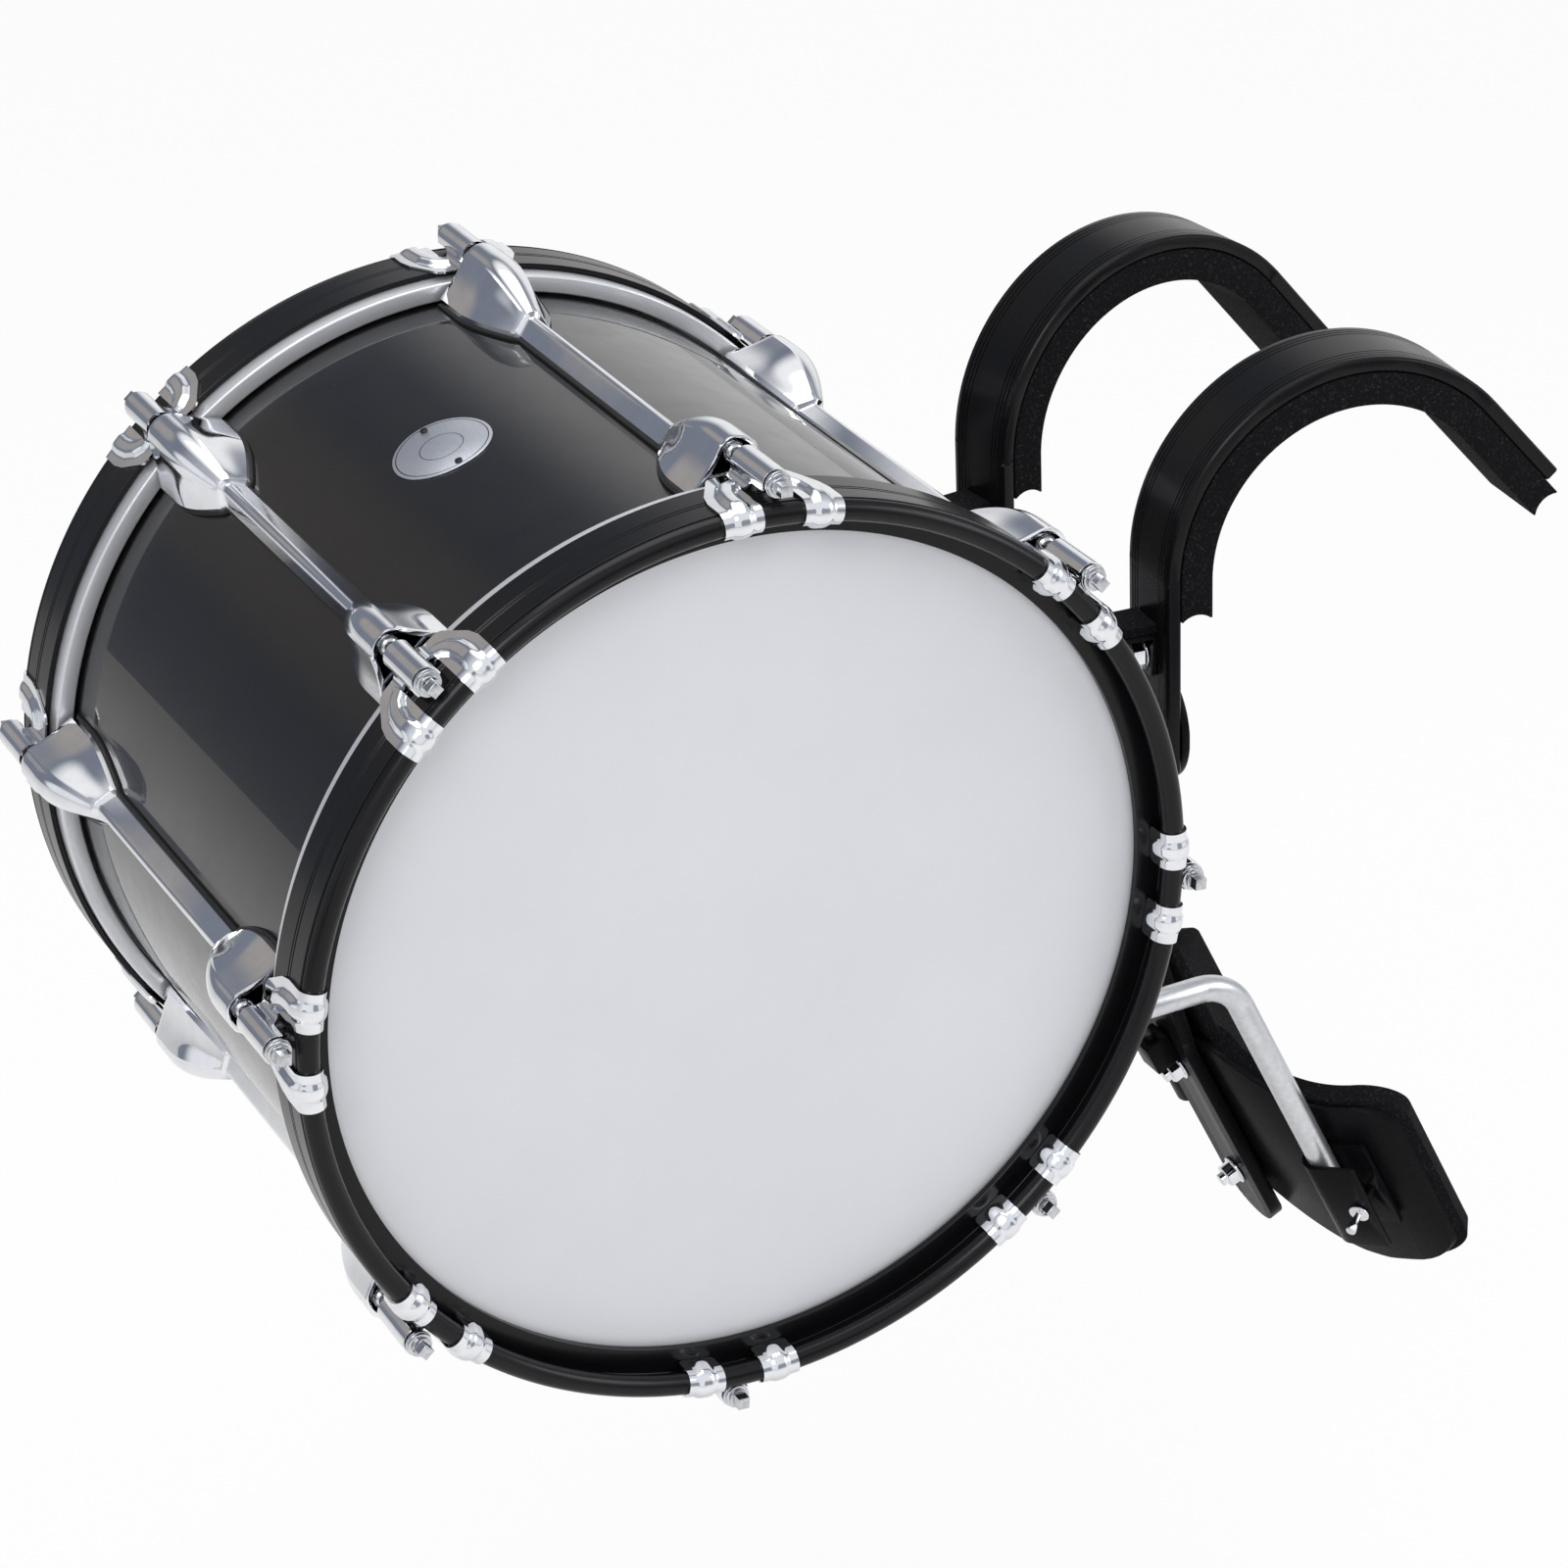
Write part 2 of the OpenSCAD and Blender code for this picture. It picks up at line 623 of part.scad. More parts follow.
module chest_plate() {
    color([0.04, 0.04, 0.045]) difference() {
        intersection() {
            translate([0, 0, -chest_h]) linear_extrude(2 * chest_h) chest_plan();
            translate([-chest_h, 0, 0]) rotate([90, 0, 90]) linear_extrude(2 * chest_h) chest_face();
        }
        for (side = [-1, 1]) shoulder_place(side) bolt_hole();
        for (z = [-spine_bolt_z, spine_bolt_z]) translate([0, 0, z]) bolt_hole();
    }
}

module chest_bolts() {
    nut_x = chest_t + bar_t + fit_gap - 0.1;
    color([0.75, 0.76, 0.78]) {
        for (side = [-1, 1]) shoulder_place(side) {
            translate([-0.1, 0, 0]) mirror([1, 0, 0]) bolt(nut_x + 12, nut_x);
            translate([-chest_t + bolt_head_t + fit_gap, 0, bracket_bolt_z]) mirror([1, 0, 0])
                bolt(bolt_head_t + bar_t + bracket_t + 11, bolt_head_t + bar_t + bracket_t + 2 * fit_gap);
        }
        for (z = [-spine_bolt_z, spine_bolt_z]) translate([-0.1, 0, z]) mirror([1, 0, 0])
            bolt(nut_x + 12, nut_x + 2 * seat_gap);
    }
}

// Angle bracket on a shoulder bar: a flange that is bolted on and a short level leg
module angle_bracket() {
    face = bar_face_u;
    difference() {
        union() {
            translate([face - bracket_t, -bracket_w / 2, bracket_z - bracket_drop + 5])
                cube([bracket_t, bracket_w, bracket_drop - 5]);
            translate([face - bracket_t, -bracket_w / 2 + 5, bracket_z - bracket_drop])
                cube([bracket_t, bracket_w - 10, 6]);
            for (side = [-1, 1]) translate([0, side * (bracket_w / 2 - 5), bracket_z - bracket_drop + 5])
                radial_rod(5, face - bracket_t, bracket_t);
            translate([face - bracket_reach, -bracket_w / 2, bracket_z - bracket_t])
                cube([bracket_reach, bracket_w, bracket_t]);
        }
        translate([0, 0, bracket_bolt_z]) radial_rod(bolt_r + fit_gap, face - 2 * bracket_t, 3 * bracket_t);
    }
}

module angle_brackets() {
    color([0.04, 0.04, 0.045]) for (side = [-1, 1]) shoulder_place(side) angle_bracket();
}

module bracket_pads() {
    color([0.07, 0.07, 0.075]) for (side = [-1, 1]) shoulder_place(side)
        translate([bar_face_u - bracket_reach, -bracket_w / 2, bracket_z + seat_gap])
            cube([bracket_reach - seat_gap, bracket_w, bracket_pad_t]);
}

// ---------- Spine ----------

module slot_cut(width, low, high, x, len) {
    translate([x, -width / 2, low]) cube([len, width, high - low]);
    for (z = [low, high]) translate([0, 0, z]) radial_rod(width / 2, x, len);
}

module spine() {
    slot = bolt_d + 2 * seat_gap;
    reach = spine_bolt_z + spine_travel;
    color([0.03, 0.03, 0.035]) difference() {
        translate([spine_face_x + spine_r, 0, spine_top_z]) rotate([0, 180, 0])
            swept([spine_leg_1, spine_leg_2, spine_leg_3], [spine_tilt, lower_turn]) bar_section(spine_r);
        slot_cut(slot, -reach, reach, spine_face_x - eps, bar_t + 2 * eps);
        belly_frame() {
            for (s = [belly_bolt_1, belly_bolt_2]) translate([0, 0, -s])
                radial_rod(bolt_r + fit_gap, -bar_t - eps, bar_t + 2 * eps);
            // rounded lower end
            translate([-bar_t - eps, 0, -spine_tail + bar_w / 2]) difference() {
                translate([0, -bar_w, -bar_w]) cube([bar_t + 2 * eps, 2 * bar_w, bar_w]);
                radial_rod(bar_w / 2, -eps, bar_t + 4 * eps);
            }
        }
    }
}

module spine_bolts() {
    color([0.75, 0.76, 0.78]) belly_frame() for (s = [belly_bolt_1, belly_bolt_2])
        translate([belly_t + 2 * seat_gap + bolt_head_t, 0, -s]) mirror([1, 0, 0])
            bolt(bolt_head_t + belly_t + bar_t + 12.5, bolt_head_t + belly_t + 2 * seat_gap + bar_t + fit_gap);
}

module clamp_block() {
    color([0.04, 0.04, 0.045]) belly_frame() difference() {
        translate([-bar_t - fit_gap - block_depth, -block_w / 2, -block_len + block_top])
            cube([block_depth, block_w, block_len]);
        translate([-bar_t - block_depth / 2, 0, block_top - 12])
            cylinder(r = screw_r + thread_gap, h = 12 + eps);
    }
}

module clamp_knob() {
    color([0.05, 0.05, 0.05]) belly_frame() translate([-bar_t - block_depth / 2, 0, 0]) union() {
        translate([0, 0, block_top - 10]) cylinder(r = screw_r, h = 16);
        translate([0, 0, block_top + 5]) sphere(knob_r);
    }
}

// ---------- Belly plate ----------

// Half outline of the belly plate as [distance from the middle, distance down the slope]
function belly_half(half_w, low) = concat(
    [[0, belly_edge], [24, belly_edge]],
    [for (k = [0:8]) [37 + (half_w - 57) * k / 8, belly_top - 31 * (1 - sin(90 * k / 8))]],
    [for (a = [15:15:75]) [half_w - 20 + 20 * sin(a), belly_top + 20 - 20 * cos(a)]],
    [[half_w, belly_top + 20]],
    [for (a = [0:15:90]) [half_w - 16 + 16 * cos(a), low - 16 + 16 * sin(a)]],
    [for (k = [7:-1:0]) [(half_w - 20) * k / 8, low - 40 * (1 + cos(180 * k / 8)) / 2]]);

module belly_outline(half_w, low) {
    half = belly_half(half_w, low);
    polygon(concat([for (p = half) [p[0], -p[1]]], [for (i = [len(half) - 2:-1:1]) [-half[i][0], -half[i][1]]]));
}

module belly_sheet(out_r, in_r, half_w, low) intersection() {
    translate([belly_axis_n, 0, -belly_low - sheet_over]) difference() {
        cylinder(r = out_r, h = belly_low + 2 * sheet_over, $fn = 180);
        translate([0, 0, -eps]) cylinder(r = in_r, h = belly_low + 2 * sheet_over + 2 * eps, $fn = 180);
    }
    rotate([90, 0, 90]) linear_extrude(belly_r * 0.7) belly_outline(half_w, low);
}

module belly_plate() {
    slot = bolt_d + 2 * seat_gap;
    color([0.04, 0.04, 0.045]) belly_frame() difference() {
        belly_sheet(belly_r, belly_r - belly_t, belly_w / 2, belly_low);
        for (s = [belly_bolt_1, belly_bolt_2]) slot_cut(slot, -s, -s + belly_travel, 0, 3 * belly_t);
    }
}

module belly_pad() {
    pad_r = belly_r - belly_t - seat_gap;
    neck_w = bar_w;
    neck_n = belly_axis_n - sqrt(pow(belly_r - belly_t, 2) - pow(neck_w / 2, 2)) + seat_gap;
    color([0.08, 0.08, 0.085]) belly_frame() difference() {
        union() {
            belly_sheet(pad_r, pad_r - belly_pad_t, belly_w / 2 + pad_grow, belly_low + 3 * pad_grow);
            translate([neck_n, -neck_w / 2, -6]) cube([belly_pad_t, neck_w, pad_neck_top + 6]);
        }
        // room for the spine, which stands steeper than the pad's neck
        rotate([0, lower_turn, 0]) translate([-3 * bar_t + seat_gap, -bar_w, -bar_w])
            cube([3 * bar_t, 2 * bar_w, 3 * pad_neck_top]);
        // room for the heads of the spine's bolts
        for (s = [belly_bolt_1, belly_bolt_2]) slot_cut(2 * bolt_head_r + 2, -s, -s + belly_travel, 0,
            belly_t + 3 * seat_gap + bolt_head_t);
    }
}

// ---------- Sockets ----------

// Sheet folded around a tube, with two leaves that a screw draws together
module socket() {
    in_r = tube_r + fit_gap;
    out_r = in_r + socket_t;
    difference() {
        translate([0, 0, -socket_top - socket_len]) union() {
            intersection() {
                translate([socket_x, 0, 0]) cylinder(r = out_r, h = socket_len);
                translate([socket_x - 2 * out_r, 0, -eps]) cube([4 * out_r, 2 * out_r, socket_len + 2 * eps]);
            }
            for (x = [socket_x - out_r, socket_x + in_r]) translate([x, -socket_w, 0])
                cube([socket_t, socket_w, socket_len]);
            translate([socket_x - out_r - 4, -socket_w + 3, 0]) cube([4.5, socket_w - 6, socket_len]);
        }
        translate([socket_x, 0, -socket_top - socket_len - eps]) cylinder(r = in_r, h = socket_len + 2 * eps);
        translate([0, 0, -socket_top - socket_len - eps]) cylinder(r = belly_r + fit_gap, h = 2 * socket_len, $fn = 180);
        translate([0, -socket_screw_t, -socket_screw_s]) {
            radial_rod(screw_r + thread_gap, belly_r - eps, 2 * out_r);
            radial_rod(screw_r + seat_gap, socket_x, 2 * out_r);
        }
    }
}

module sockets() {
    color([0.04, 0.04, 0.045]) for (side = [-1, 1]) carrier_side(side) belly_frame() socket_frame() socket();
}

module socket_screw(side) {
    leaf_x = socket_x + tube_r + fit_gap + socket_t;
    color([0.8, 0.81, 0.83]) carrier_side(side) belly_frame() socket_frame()
        translate([0, -socket_screw_t, -socket_screw_s]) union() {
            radial_rod(screw_r, socket_x - tube_r - socket_t + 1, leaf_x - socket_x + tube_r + socket_t);
            radial_rod(6, leaf_x + seat_gap, 1.6);
            radial_rod(2.1, leaf_x + seat_gap, 13);
            radial_rod(2.9, leaf_x + 10, 5);
        }
}

// ---------- J-bars ----------

module j_bar_bend(bend_r, angle) rotate([90, 0, 0]) rotate_extrude(angle = angle)
    translate([bend_r, 0]) circle(tube_r - bend_thin);

// A round bar that starts up +Z, bends to -X until it is level and then bends up again
module j_bar_path() {
    cylinder(r = tube_r, h = tube_leg_1 + bend_lap);
    translate([-tube_bend_r, 0, tube_leg_1]) {
        j_bar_bend(tube_bend_r, tube_turn);
        rotate([0, -tube_turn, 0]) translate([tube_bend_r, 0, 0]) {
            translate([0, 0, -bend_lap]) cylinder(r = tube_r, h = tube_leg_2 + 2 * bend_lap);
            translate([hook_bend_r, 0, tube_leg_2]) {
                rotate([0, -90, 0]) j_bar_bend(hook_bend_r, 90);
                translate([-bend_lap, 0, hook_bend_r]) rotate([0, 90, 0])
                    cylinder(r = tube_r, h = hook_len + bend_lap);
            }
        }
    }
}

module j_bar(side) {
    color([0.75, 0.76, 0.78]) carrier_side(side) belly_frame()
        translate([tube_n, tube_y, -tube_low]) j_bar_path();
}

// ---------- Nodes ----------

on_drum() shell();
on_drum() head(-1);  // head_front
on_drum() head(1);  // head_back
on_drum() flesh_hoop(-1);  // flesh_hoop_front
on_drum() flesh_hoop(1);  // flesh_hoop_back
on_drum() hoop(-1);  // hoop_front
on_drum() hoop(1);  // hoop_back
for (i = [1:lugs]) on_drum() lug(i);
on_drum() lug_gaskets();
on_drum() lug_screws();
on_drum() swivel_nuts();
for (i = [1:lugs]) on_drum() tension_rod(-1, i);
for (i = [1:lugs]) on_drum() tension_rod(1, i);
on_drum() claws(-1);  // claws_front
on_drum() claws(1);  // claws_back
on_drum() rod_washers();
on_drum() badge();
on_drum() badge_pins();
on_drum() hook_receivers();
on_drum() receiver_screws();
shoulder_bar(-1);  // shoulder_bar_left
shoulder_bar(1);  // shoulder_bar_right
shoulder_pad(-1);  // shoulder_pad_left
shoulder_pad(1);  // shoulder_pad_right
chest_plate();
angle_brackets();
bracket_pads();
chest_bolts();
spine();
spine_bolts();
clamp_block();
clamp_knob();
belly_plate();
belly_pad();
sockets();
socket_screw(-1);  // socket_screw_left
socket_screw(1);  // socket_screw_right
j_bar(-1);  // j_bar_left
j_bar(1);  // j_bar_right
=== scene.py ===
import math

import bmesh
import bpy
from mathutils import Matrix, Vector


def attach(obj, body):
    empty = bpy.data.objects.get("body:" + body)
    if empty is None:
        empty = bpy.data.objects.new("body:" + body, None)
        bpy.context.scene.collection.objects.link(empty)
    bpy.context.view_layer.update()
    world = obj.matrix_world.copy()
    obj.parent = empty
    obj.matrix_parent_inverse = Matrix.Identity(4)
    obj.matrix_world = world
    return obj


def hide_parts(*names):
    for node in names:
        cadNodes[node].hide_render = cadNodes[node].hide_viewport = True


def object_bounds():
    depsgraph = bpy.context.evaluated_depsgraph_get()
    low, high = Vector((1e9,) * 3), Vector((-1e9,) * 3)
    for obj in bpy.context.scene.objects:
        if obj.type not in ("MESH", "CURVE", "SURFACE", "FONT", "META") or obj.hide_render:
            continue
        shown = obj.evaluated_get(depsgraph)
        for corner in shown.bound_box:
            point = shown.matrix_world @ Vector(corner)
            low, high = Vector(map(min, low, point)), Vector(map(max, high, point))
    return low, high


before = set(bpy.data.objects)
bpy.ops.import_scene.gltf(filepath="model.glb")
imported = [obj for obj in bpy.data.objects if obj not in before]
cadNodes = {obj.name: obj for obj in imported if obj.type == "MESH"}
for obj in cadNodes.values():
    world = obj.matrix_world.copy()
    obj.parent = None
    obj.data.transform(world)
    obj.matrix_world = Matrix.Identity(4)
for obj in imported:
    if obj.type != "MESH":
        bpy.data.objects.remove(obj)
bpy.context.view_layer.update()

# Lengths below are in millimetres and mm turns them into metres.
mm = 0.001
drum = {
    "centre": (-301, 0, -9.5),
    "shellRadius": 228.6,
    "rodCircle": 251,
    "lugCount": 8,
    "firstLugAngle": -5.3,
}
centre = Vector(drum["centre"]) * mm
sides = {"front": -1, "back": 1}
lugAngles = [math.radians(drum["firstLugAngle"] + 360 / drum["lugCount"] * i) for i in range(drum["lugCount"])]


# Camera at the photograph's place

camera = {
    "place": (-1.16376, -2.02365, 1.13072),
    "right": (0.89116, -0.45204, -0.03863),
    "up": (0.23820, 0.39371, 0.88783),
    "back": (-0.38613, -0.80040, 0.45854),
    "lens": 108.2,
}


def link(obj):
    bpy.context.scene.collection.objects.link(obj)
    return obj


def addCamera():
    data = bpy.data.cameras.new("photoCamera")
    data.lens = camera["lens"]
    data.sensor_width = 36
    data.clip_end = 60
    obj = link(bpy.data.objects.new("photoCamera", data))
    turn = Matrix((camera["right"], camera["up"], camera["back"])).transposed().to_4x4()
    obj.matrix_world = Matrix.Translation(camera["place"]) @ turn
    bpy.context.scene.camera = obj


addCamera()
print("camera placed")


# Shader nodes

def addNode(tree, kind, props=None, ins=None):
    made = tree.nodes.new(kind)
    for key, value in (props or {}).items():
        setattr(made, key, value)
    for key, value in (ins or {}).items():
        if isinstance(value, bpy.types.NodeSocket):
            tree.links.new(value, made.inputs[key])
        else:
            made.inputs[key].default_value = value
    return made


def mathNode(tree, operation, *values):
    return addNode(tree, "ShaderNodeMath", {"operation": operation}, dict(enumerate(values))).outputs[0]


def vectorNode(tree, operation, *values):
    made = addNode(tree, "ShaderNodeVectorMath", {"operation": operation}, dict(enumerate(values)))
    return made.outputs["Value" if operation in ("LENGTH", "DISTANCE", "DOT_PRODUCT") else "Vector"]


def mixColours(tree, mask, first, second):
    made = addNode(tree, "ShaderNodeMix", {"data_type": "RGBA"})
    for index, value in ((0, mask), (6, first), (7, second)):
        if isinstance(value, bpy.types.NodeSocket):
            tree.links.new(value, made.inputs[index])
        else:
            made.inputs[index].default_value = value if index == 0 else (*value, 1)
    return made.outputs[2]


def mapRange(tree, value, fromLow, fromHigh, toLow, toHigh):
    ins = dict(enumerate((value, fromLow, fromHigh, toLow, toHigh)))
    return addNode(tree, "ShaderNodeMapRange", None, ins).outputs[0]


def newGroup(name, inputs, outputs):
    tree = bpy.data.node_groups.new(name, "ShaderNodeTree")
    for label, kind, value in inputs:
        socket = tree.interface.new_socket(label, in_out="INPUT", socket_type="NodeSocket" + kind)
        if value is not None:
            socket.default_value = value
    for label, kind in outputs:
        tree.interface.new_socket(label, in_out="OUTPUT", socket_type="NodeSocket" + kind)
    return tree, tree.nodes.new("NodeGroupInput").outputs, tree.nodes.new("NodeGroupOutput").inputs


def drawnGrainGroup():
    # Grain that is drawn out along an axis, or round the drum where Round is 1
    tree, ins, outs = newGroup("drawnGrain", [
        ("Vector", "Vector", None), ("Stretch", "Vector", (1, 1, 1)), ("Round", "Float", 0),
        ("Scale", "Float", 100), ("Strength", "Float", 0.1), ("Distance", "Float", 0.0002),
    ], [("Mask", "Float"), ("Normal", "Vector")])
    local = vectorNode(tree, "SUBTRACT", ins["Vector"], centre)
    parts = addNode(tree, "ShaderNodeSeparateXYZ", None, {0: local}).outputs
    flat = addNode(tree, "ShaderNodeCombineXYZ", None, {0: parts[0], 2: parts[2]}).outputs[0]
    angle = mathNode(tree, "ARCTAN2", parts[2], parts[0])
    along = mathNode(tree, "MULTIPLY", angle, drum["shellRadius"] * mm)
    turned = addNode(tree, "ShaderNodeCombineXYZ", None, {
        0: along, 1: parts[1], 2: vectorNode(tree, "LENGTH", flat)}).outputs[0]
    mixed = addNode(tree, "ShaderNodeMix", {"data_type": "VECTOR"}, {
        0: ins["Round"], 4: ins["Vector"], 5: turned}).outputs[1]
    drawn = vectorNode(tree, "MULTIPLY", mixed, ins["Stretch"])
    grain = addNode(tree, "ShaderNodeTexNoise", None, {
        "Vector": drawn, "Scale": ins["Scale"], "Detail": 4, "Roughness": 0.6}).outputs[0]
    tree.links.new(mapRange(tree, grain, 0.3, 0.7, 0, 1), outs["Mask"])
    bump = addNode(tree, "ShaderNodeBump", None, {
        "Strength": ins["Strength"], "Distance": ins["Distance"], "Height": grain})
    tree.links.new(bump.outputs[0], outs["Normal"])
    return tree


def foamGroup():
    # Small open cells with paler skin between them
    tree, ins, outs = newGroup("foamCells", [
        ("Vector", "Vector", None), ("Scale", "Float", 600), ("Strength", "Float", 0.5),
    ], [("Mask", "Float"), ("Normal", "Vector")])
    cells = addNode(tree, "ShaderNodeTexVoronoi", None, {"Vector": ins["Vector"], "Scale": ins["Scale"]})
    cloud = addNode(tree, "ShaderNodeTexNoise", None, {
        "Vector": ins["Vector"], "Scale": 620, "Detail": 3, "Roughness": 0.6})
    spots = mapRange(tree, cloud.outputs[0], 0.54, 0.76, 0, 1)
    tree.links.new(mathNode(tree, "MULTIPLY", spots, cells.outputs["Distance"]), outs["Mask"])
    height = mathNode(tree, "ADD", cells.outputs["Distance"], cloud.outputs[0])
    bump = addNode(tree, "ShaderNodeBump", None, {"Strength": ins["Strength"], "Distance": 0.0006, "Height": height})
    tree.links.new(bump.outputs[0], outs["Normal"])
    return tree


drawnGrain = drawnGrainGroup()
foamCells = foamGroup()


def newFinish(name, colour, shade, rough, spread=0.05, metal=0.0, coat=0.0, coatRough=0.03, specular=0.5,
              stretch=(1, 1, 1), around=0, scale=120, strength=0.1, depth=0.0002, group=None):
    # colour and shade are mixed by the grain's mask, which also spreads the roughness
    material = bpy.data.materials.new(name)
    material.use_nodes = True
    tree = material.node_tree
    shader = tree.nodes["Principled BSDF"]
    place = addNode(tree, "ShaderNodeTexCoord").outputs["Object"]
    grain = addNode(tree, "ShaderNodeGroup", {"node_tree": group or drawnGrain}, {
        "Vector": place, "Scale": scale, "Strength": strength})
    if not group:
        grain.inputs["Stretch"].default_value = stretch
        grain.inputs["Round"].default_value = around
        grain.inputs["Distance"].default_value = depth
    mask = grain.outputs["Mask"]
    tree.links.new(mixColours(tree, mask, colour, shade), shader.inputs["Base Color"])
    tree.links.new(mapRange(tree, mask, 0, 1, rough - spread, rough + spread), shader.inputs["Roughness"])
    tree.links.new(grain.outputs["Normal"], shader.inputs["Normal"])
    shader.inputs["Metallic"].default_value = metal
    shader.inputs["Coat Weight"].default_value = coat
    shader.inputs["Coat Roughness"].default_value = coatRough
    shader.inputs["Specular IOR Level"].default_value = specular
    return material, tree, shader, place


chrome = newFinish("polishedChrome", (0.86, 0.87, 0.89), (0.78, 0.79, 0.82), 0.07, 0.03, 1,
                   scale=90, strength=0.03, depth=0.0003)[0]
steel = newFinish("brightSteel", (0.72, 0.73, 0.75), (0.52, 0.53, 0.55), 0.2, 0.08, 1, scale=400, strength=0.1)[0]
coatedBlack = newFinish("powderCoat", (0.004, 0.004, 0.005), (0.007, 0.007, 0.008), 0.3, 0.05, specular=0.06,
                        scale=900, strength=0.15, depth=0.0003)[0]
print("shared finishes made")


# Mesh helpers

def makePiece(name, bm, body, slot, materials, replaced=(), sharp=32):
    mesh = bpy.data.meshes.new(name)
    bm.to_mesh(mesh)
    bm.free()
    mesh.polygons.foreach_set("use_smooth", [True] * len(mesh.polygons))
    mesh.set_sharp_from_angle(angle=math.radians(sharp))
    for material in materials:
        mesh.materials.append(material)
    obj = link(bpy.data.objects.new(name, mesh))
    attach(obj, body)
    if replaced:
        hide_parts(*replaced)
    return obj


def bevelSharp(bm, width, segments=2, angle=35, limit=None):
    edges = [e for e in bm.edges if len(e.link_faces) == 2 and e.calc_face_angle(0) > math.radians(angle)
             and (limit is None or limit(e))]
    bmesh.ops.bevel(bm, geom=edges, offset=width * mm, offset_type="OFFSET", segments=segments, profile=0.5,
                    affect="EDGES", clamp_overlap=True, material=-1)


def turnOutline(outline, steps=288):
    # outline is closed and given as (radius, distance along the drum)
    bm = bmesh.new()
    verts = [bm.verts.new((r * mm, y * mm, 0)) for r, y in outline]
    edges = [bm.edges.new(pair) for pair in zip(verts, verts[1:] + verts[:1])]
    bmesh.ops.spin(bm, geom=verts + edges, cent=(0, 0, 0), axis=(0, 1, 0), dvec=(0, 0, 0),
                   angle=math.tau, steps=steps, use_merge=True)
    bmesh.ops.remove_doubles(bm, verts=bm.verts, dist=0.001 * mm)
    bmesh.ops.recalc_face_normals(bm, faces=bm.faces)
    return bm


def moveToDrum(bm):
    bmesh.ops.translate(bm, verts=bm.verts, vec=centre)


def roundDrum(bm, angle):
    # Turns what is drawn on the wearer's side to its place around the drum
    bmesh.ops.rotate(bm, verts=bm.verts, cent=(0, 0, 0), matrix=Matrix.Rotation(-angle, 3, "Y"))


def gridSheet(columns, rows, place):
    # A sheet whose points are placed by their column and row from 0 to 1
    bm = bmesh.new()
    bmesh.ops.create_grid(bm, x_segments=columns, y_segments=rows, size=0.5)
    for vert in bm.verts:
        vert.co = place(vert.co.x + 0.5, vert.co.y + 0.5)
    return bm


def polar(radius, across, y, sheetRadius=230.0):
    # A point that lies across mm beside the wearer's side line, wrapped round the drum
    angle = across / sheetRadius
    return Vector((radius * math.cos(angle), y, radius * math.sin(angle))) * mm


def refinedCopy(node, width, segments=2, angle=35):
    bm = bmesh.new()
    bm.from_mesh(cadNodes[node].data)
    bmesh.ops.remove_doubles(bm, verts=bm.verts, dist=0.002 * mm)
    bmesh.ops.dissolve_limit(bm, angle_limit=math.radians(0.5), verts=bm.verts, edges=bm.edges)
    if width:
        bevelSharp(bm, width, segments, angle)
    return bm


def refine(node, name, body, slot, material, width, segments=2, angle=35):
    return makePiece(name, refinedCopy(node, width, segments, angle), body, slot, [material], [node])


def joinInto(bm, other):
    mesh = bpy.data.meshes.new("part")
    other.to_mesh(mesh)
    other.free()
    bm.from_mesh(mesh)
    bpy.data.meshes.remove(mesh)


def smoothStep(value, low, high):
    t = min(1.0, max(0.0, (value - low) / (high - low)))
    return t * t * (3 - 2 * t)


def stretchRows(marks):
    # Row places between marks given as (place, number of rows up to the next mark)
    rows = []
    for (start, count), (end, _) in zip(marks, marks[1:]):
        rows += [start + (end - start) * i / count for i in range(count)]
    return rows + [marks[-1][0]]


def quarterWave(value):
    return math.sin(min(1.0, max(0.0, value)) * math.pi / 2)


# Shell with its gloss wrap

shell = {
    "wall": 7, "halfDepth": 180, "edge": 3,
    "colour": (0.003, 0.003, 0.004), "shade": (0.005, 0.004, 0.004),
}


def addShell():
    r, half, edge, wall = drum["shellRadius"], shell["halfDepth"], shell["edge"], shell["wall"]
    low = half - wall + edge
    bm = turnOutline([(r - wall, -low), (r - edge, -half), (r, -half + edge),
                      (r, half - edge), (r - edge, half), (r - wall, low)])
    moveToDrum(bm)
    material = newFinish("glossWrap", shell["colour"], shell["shade"], 0.32, 0.05, coat=0.8, coatRough=0.03,
                         specular=0.12, scale=40, strength=0.04, depth=0.0004)[0]
    makePiece("drumShell", bm, "drum", "shell_wrap", [material], ["shell"])


addShell()
print("shell made")


# Heads with their flesh hoops

head = {
    "filmLow": 180.1, "filmTop": 180.6, "crown": 225.6, "collar": 229, "collarLow": 164.1,
    "hoopInner": 230, "hoopOuter": 239.5, "hoopLow": 156.1, "hoopTop": 172.1,
    "colour": (0.73, 0.74, 0.78), "shade": (0.70, 0.71, 0.75),
}


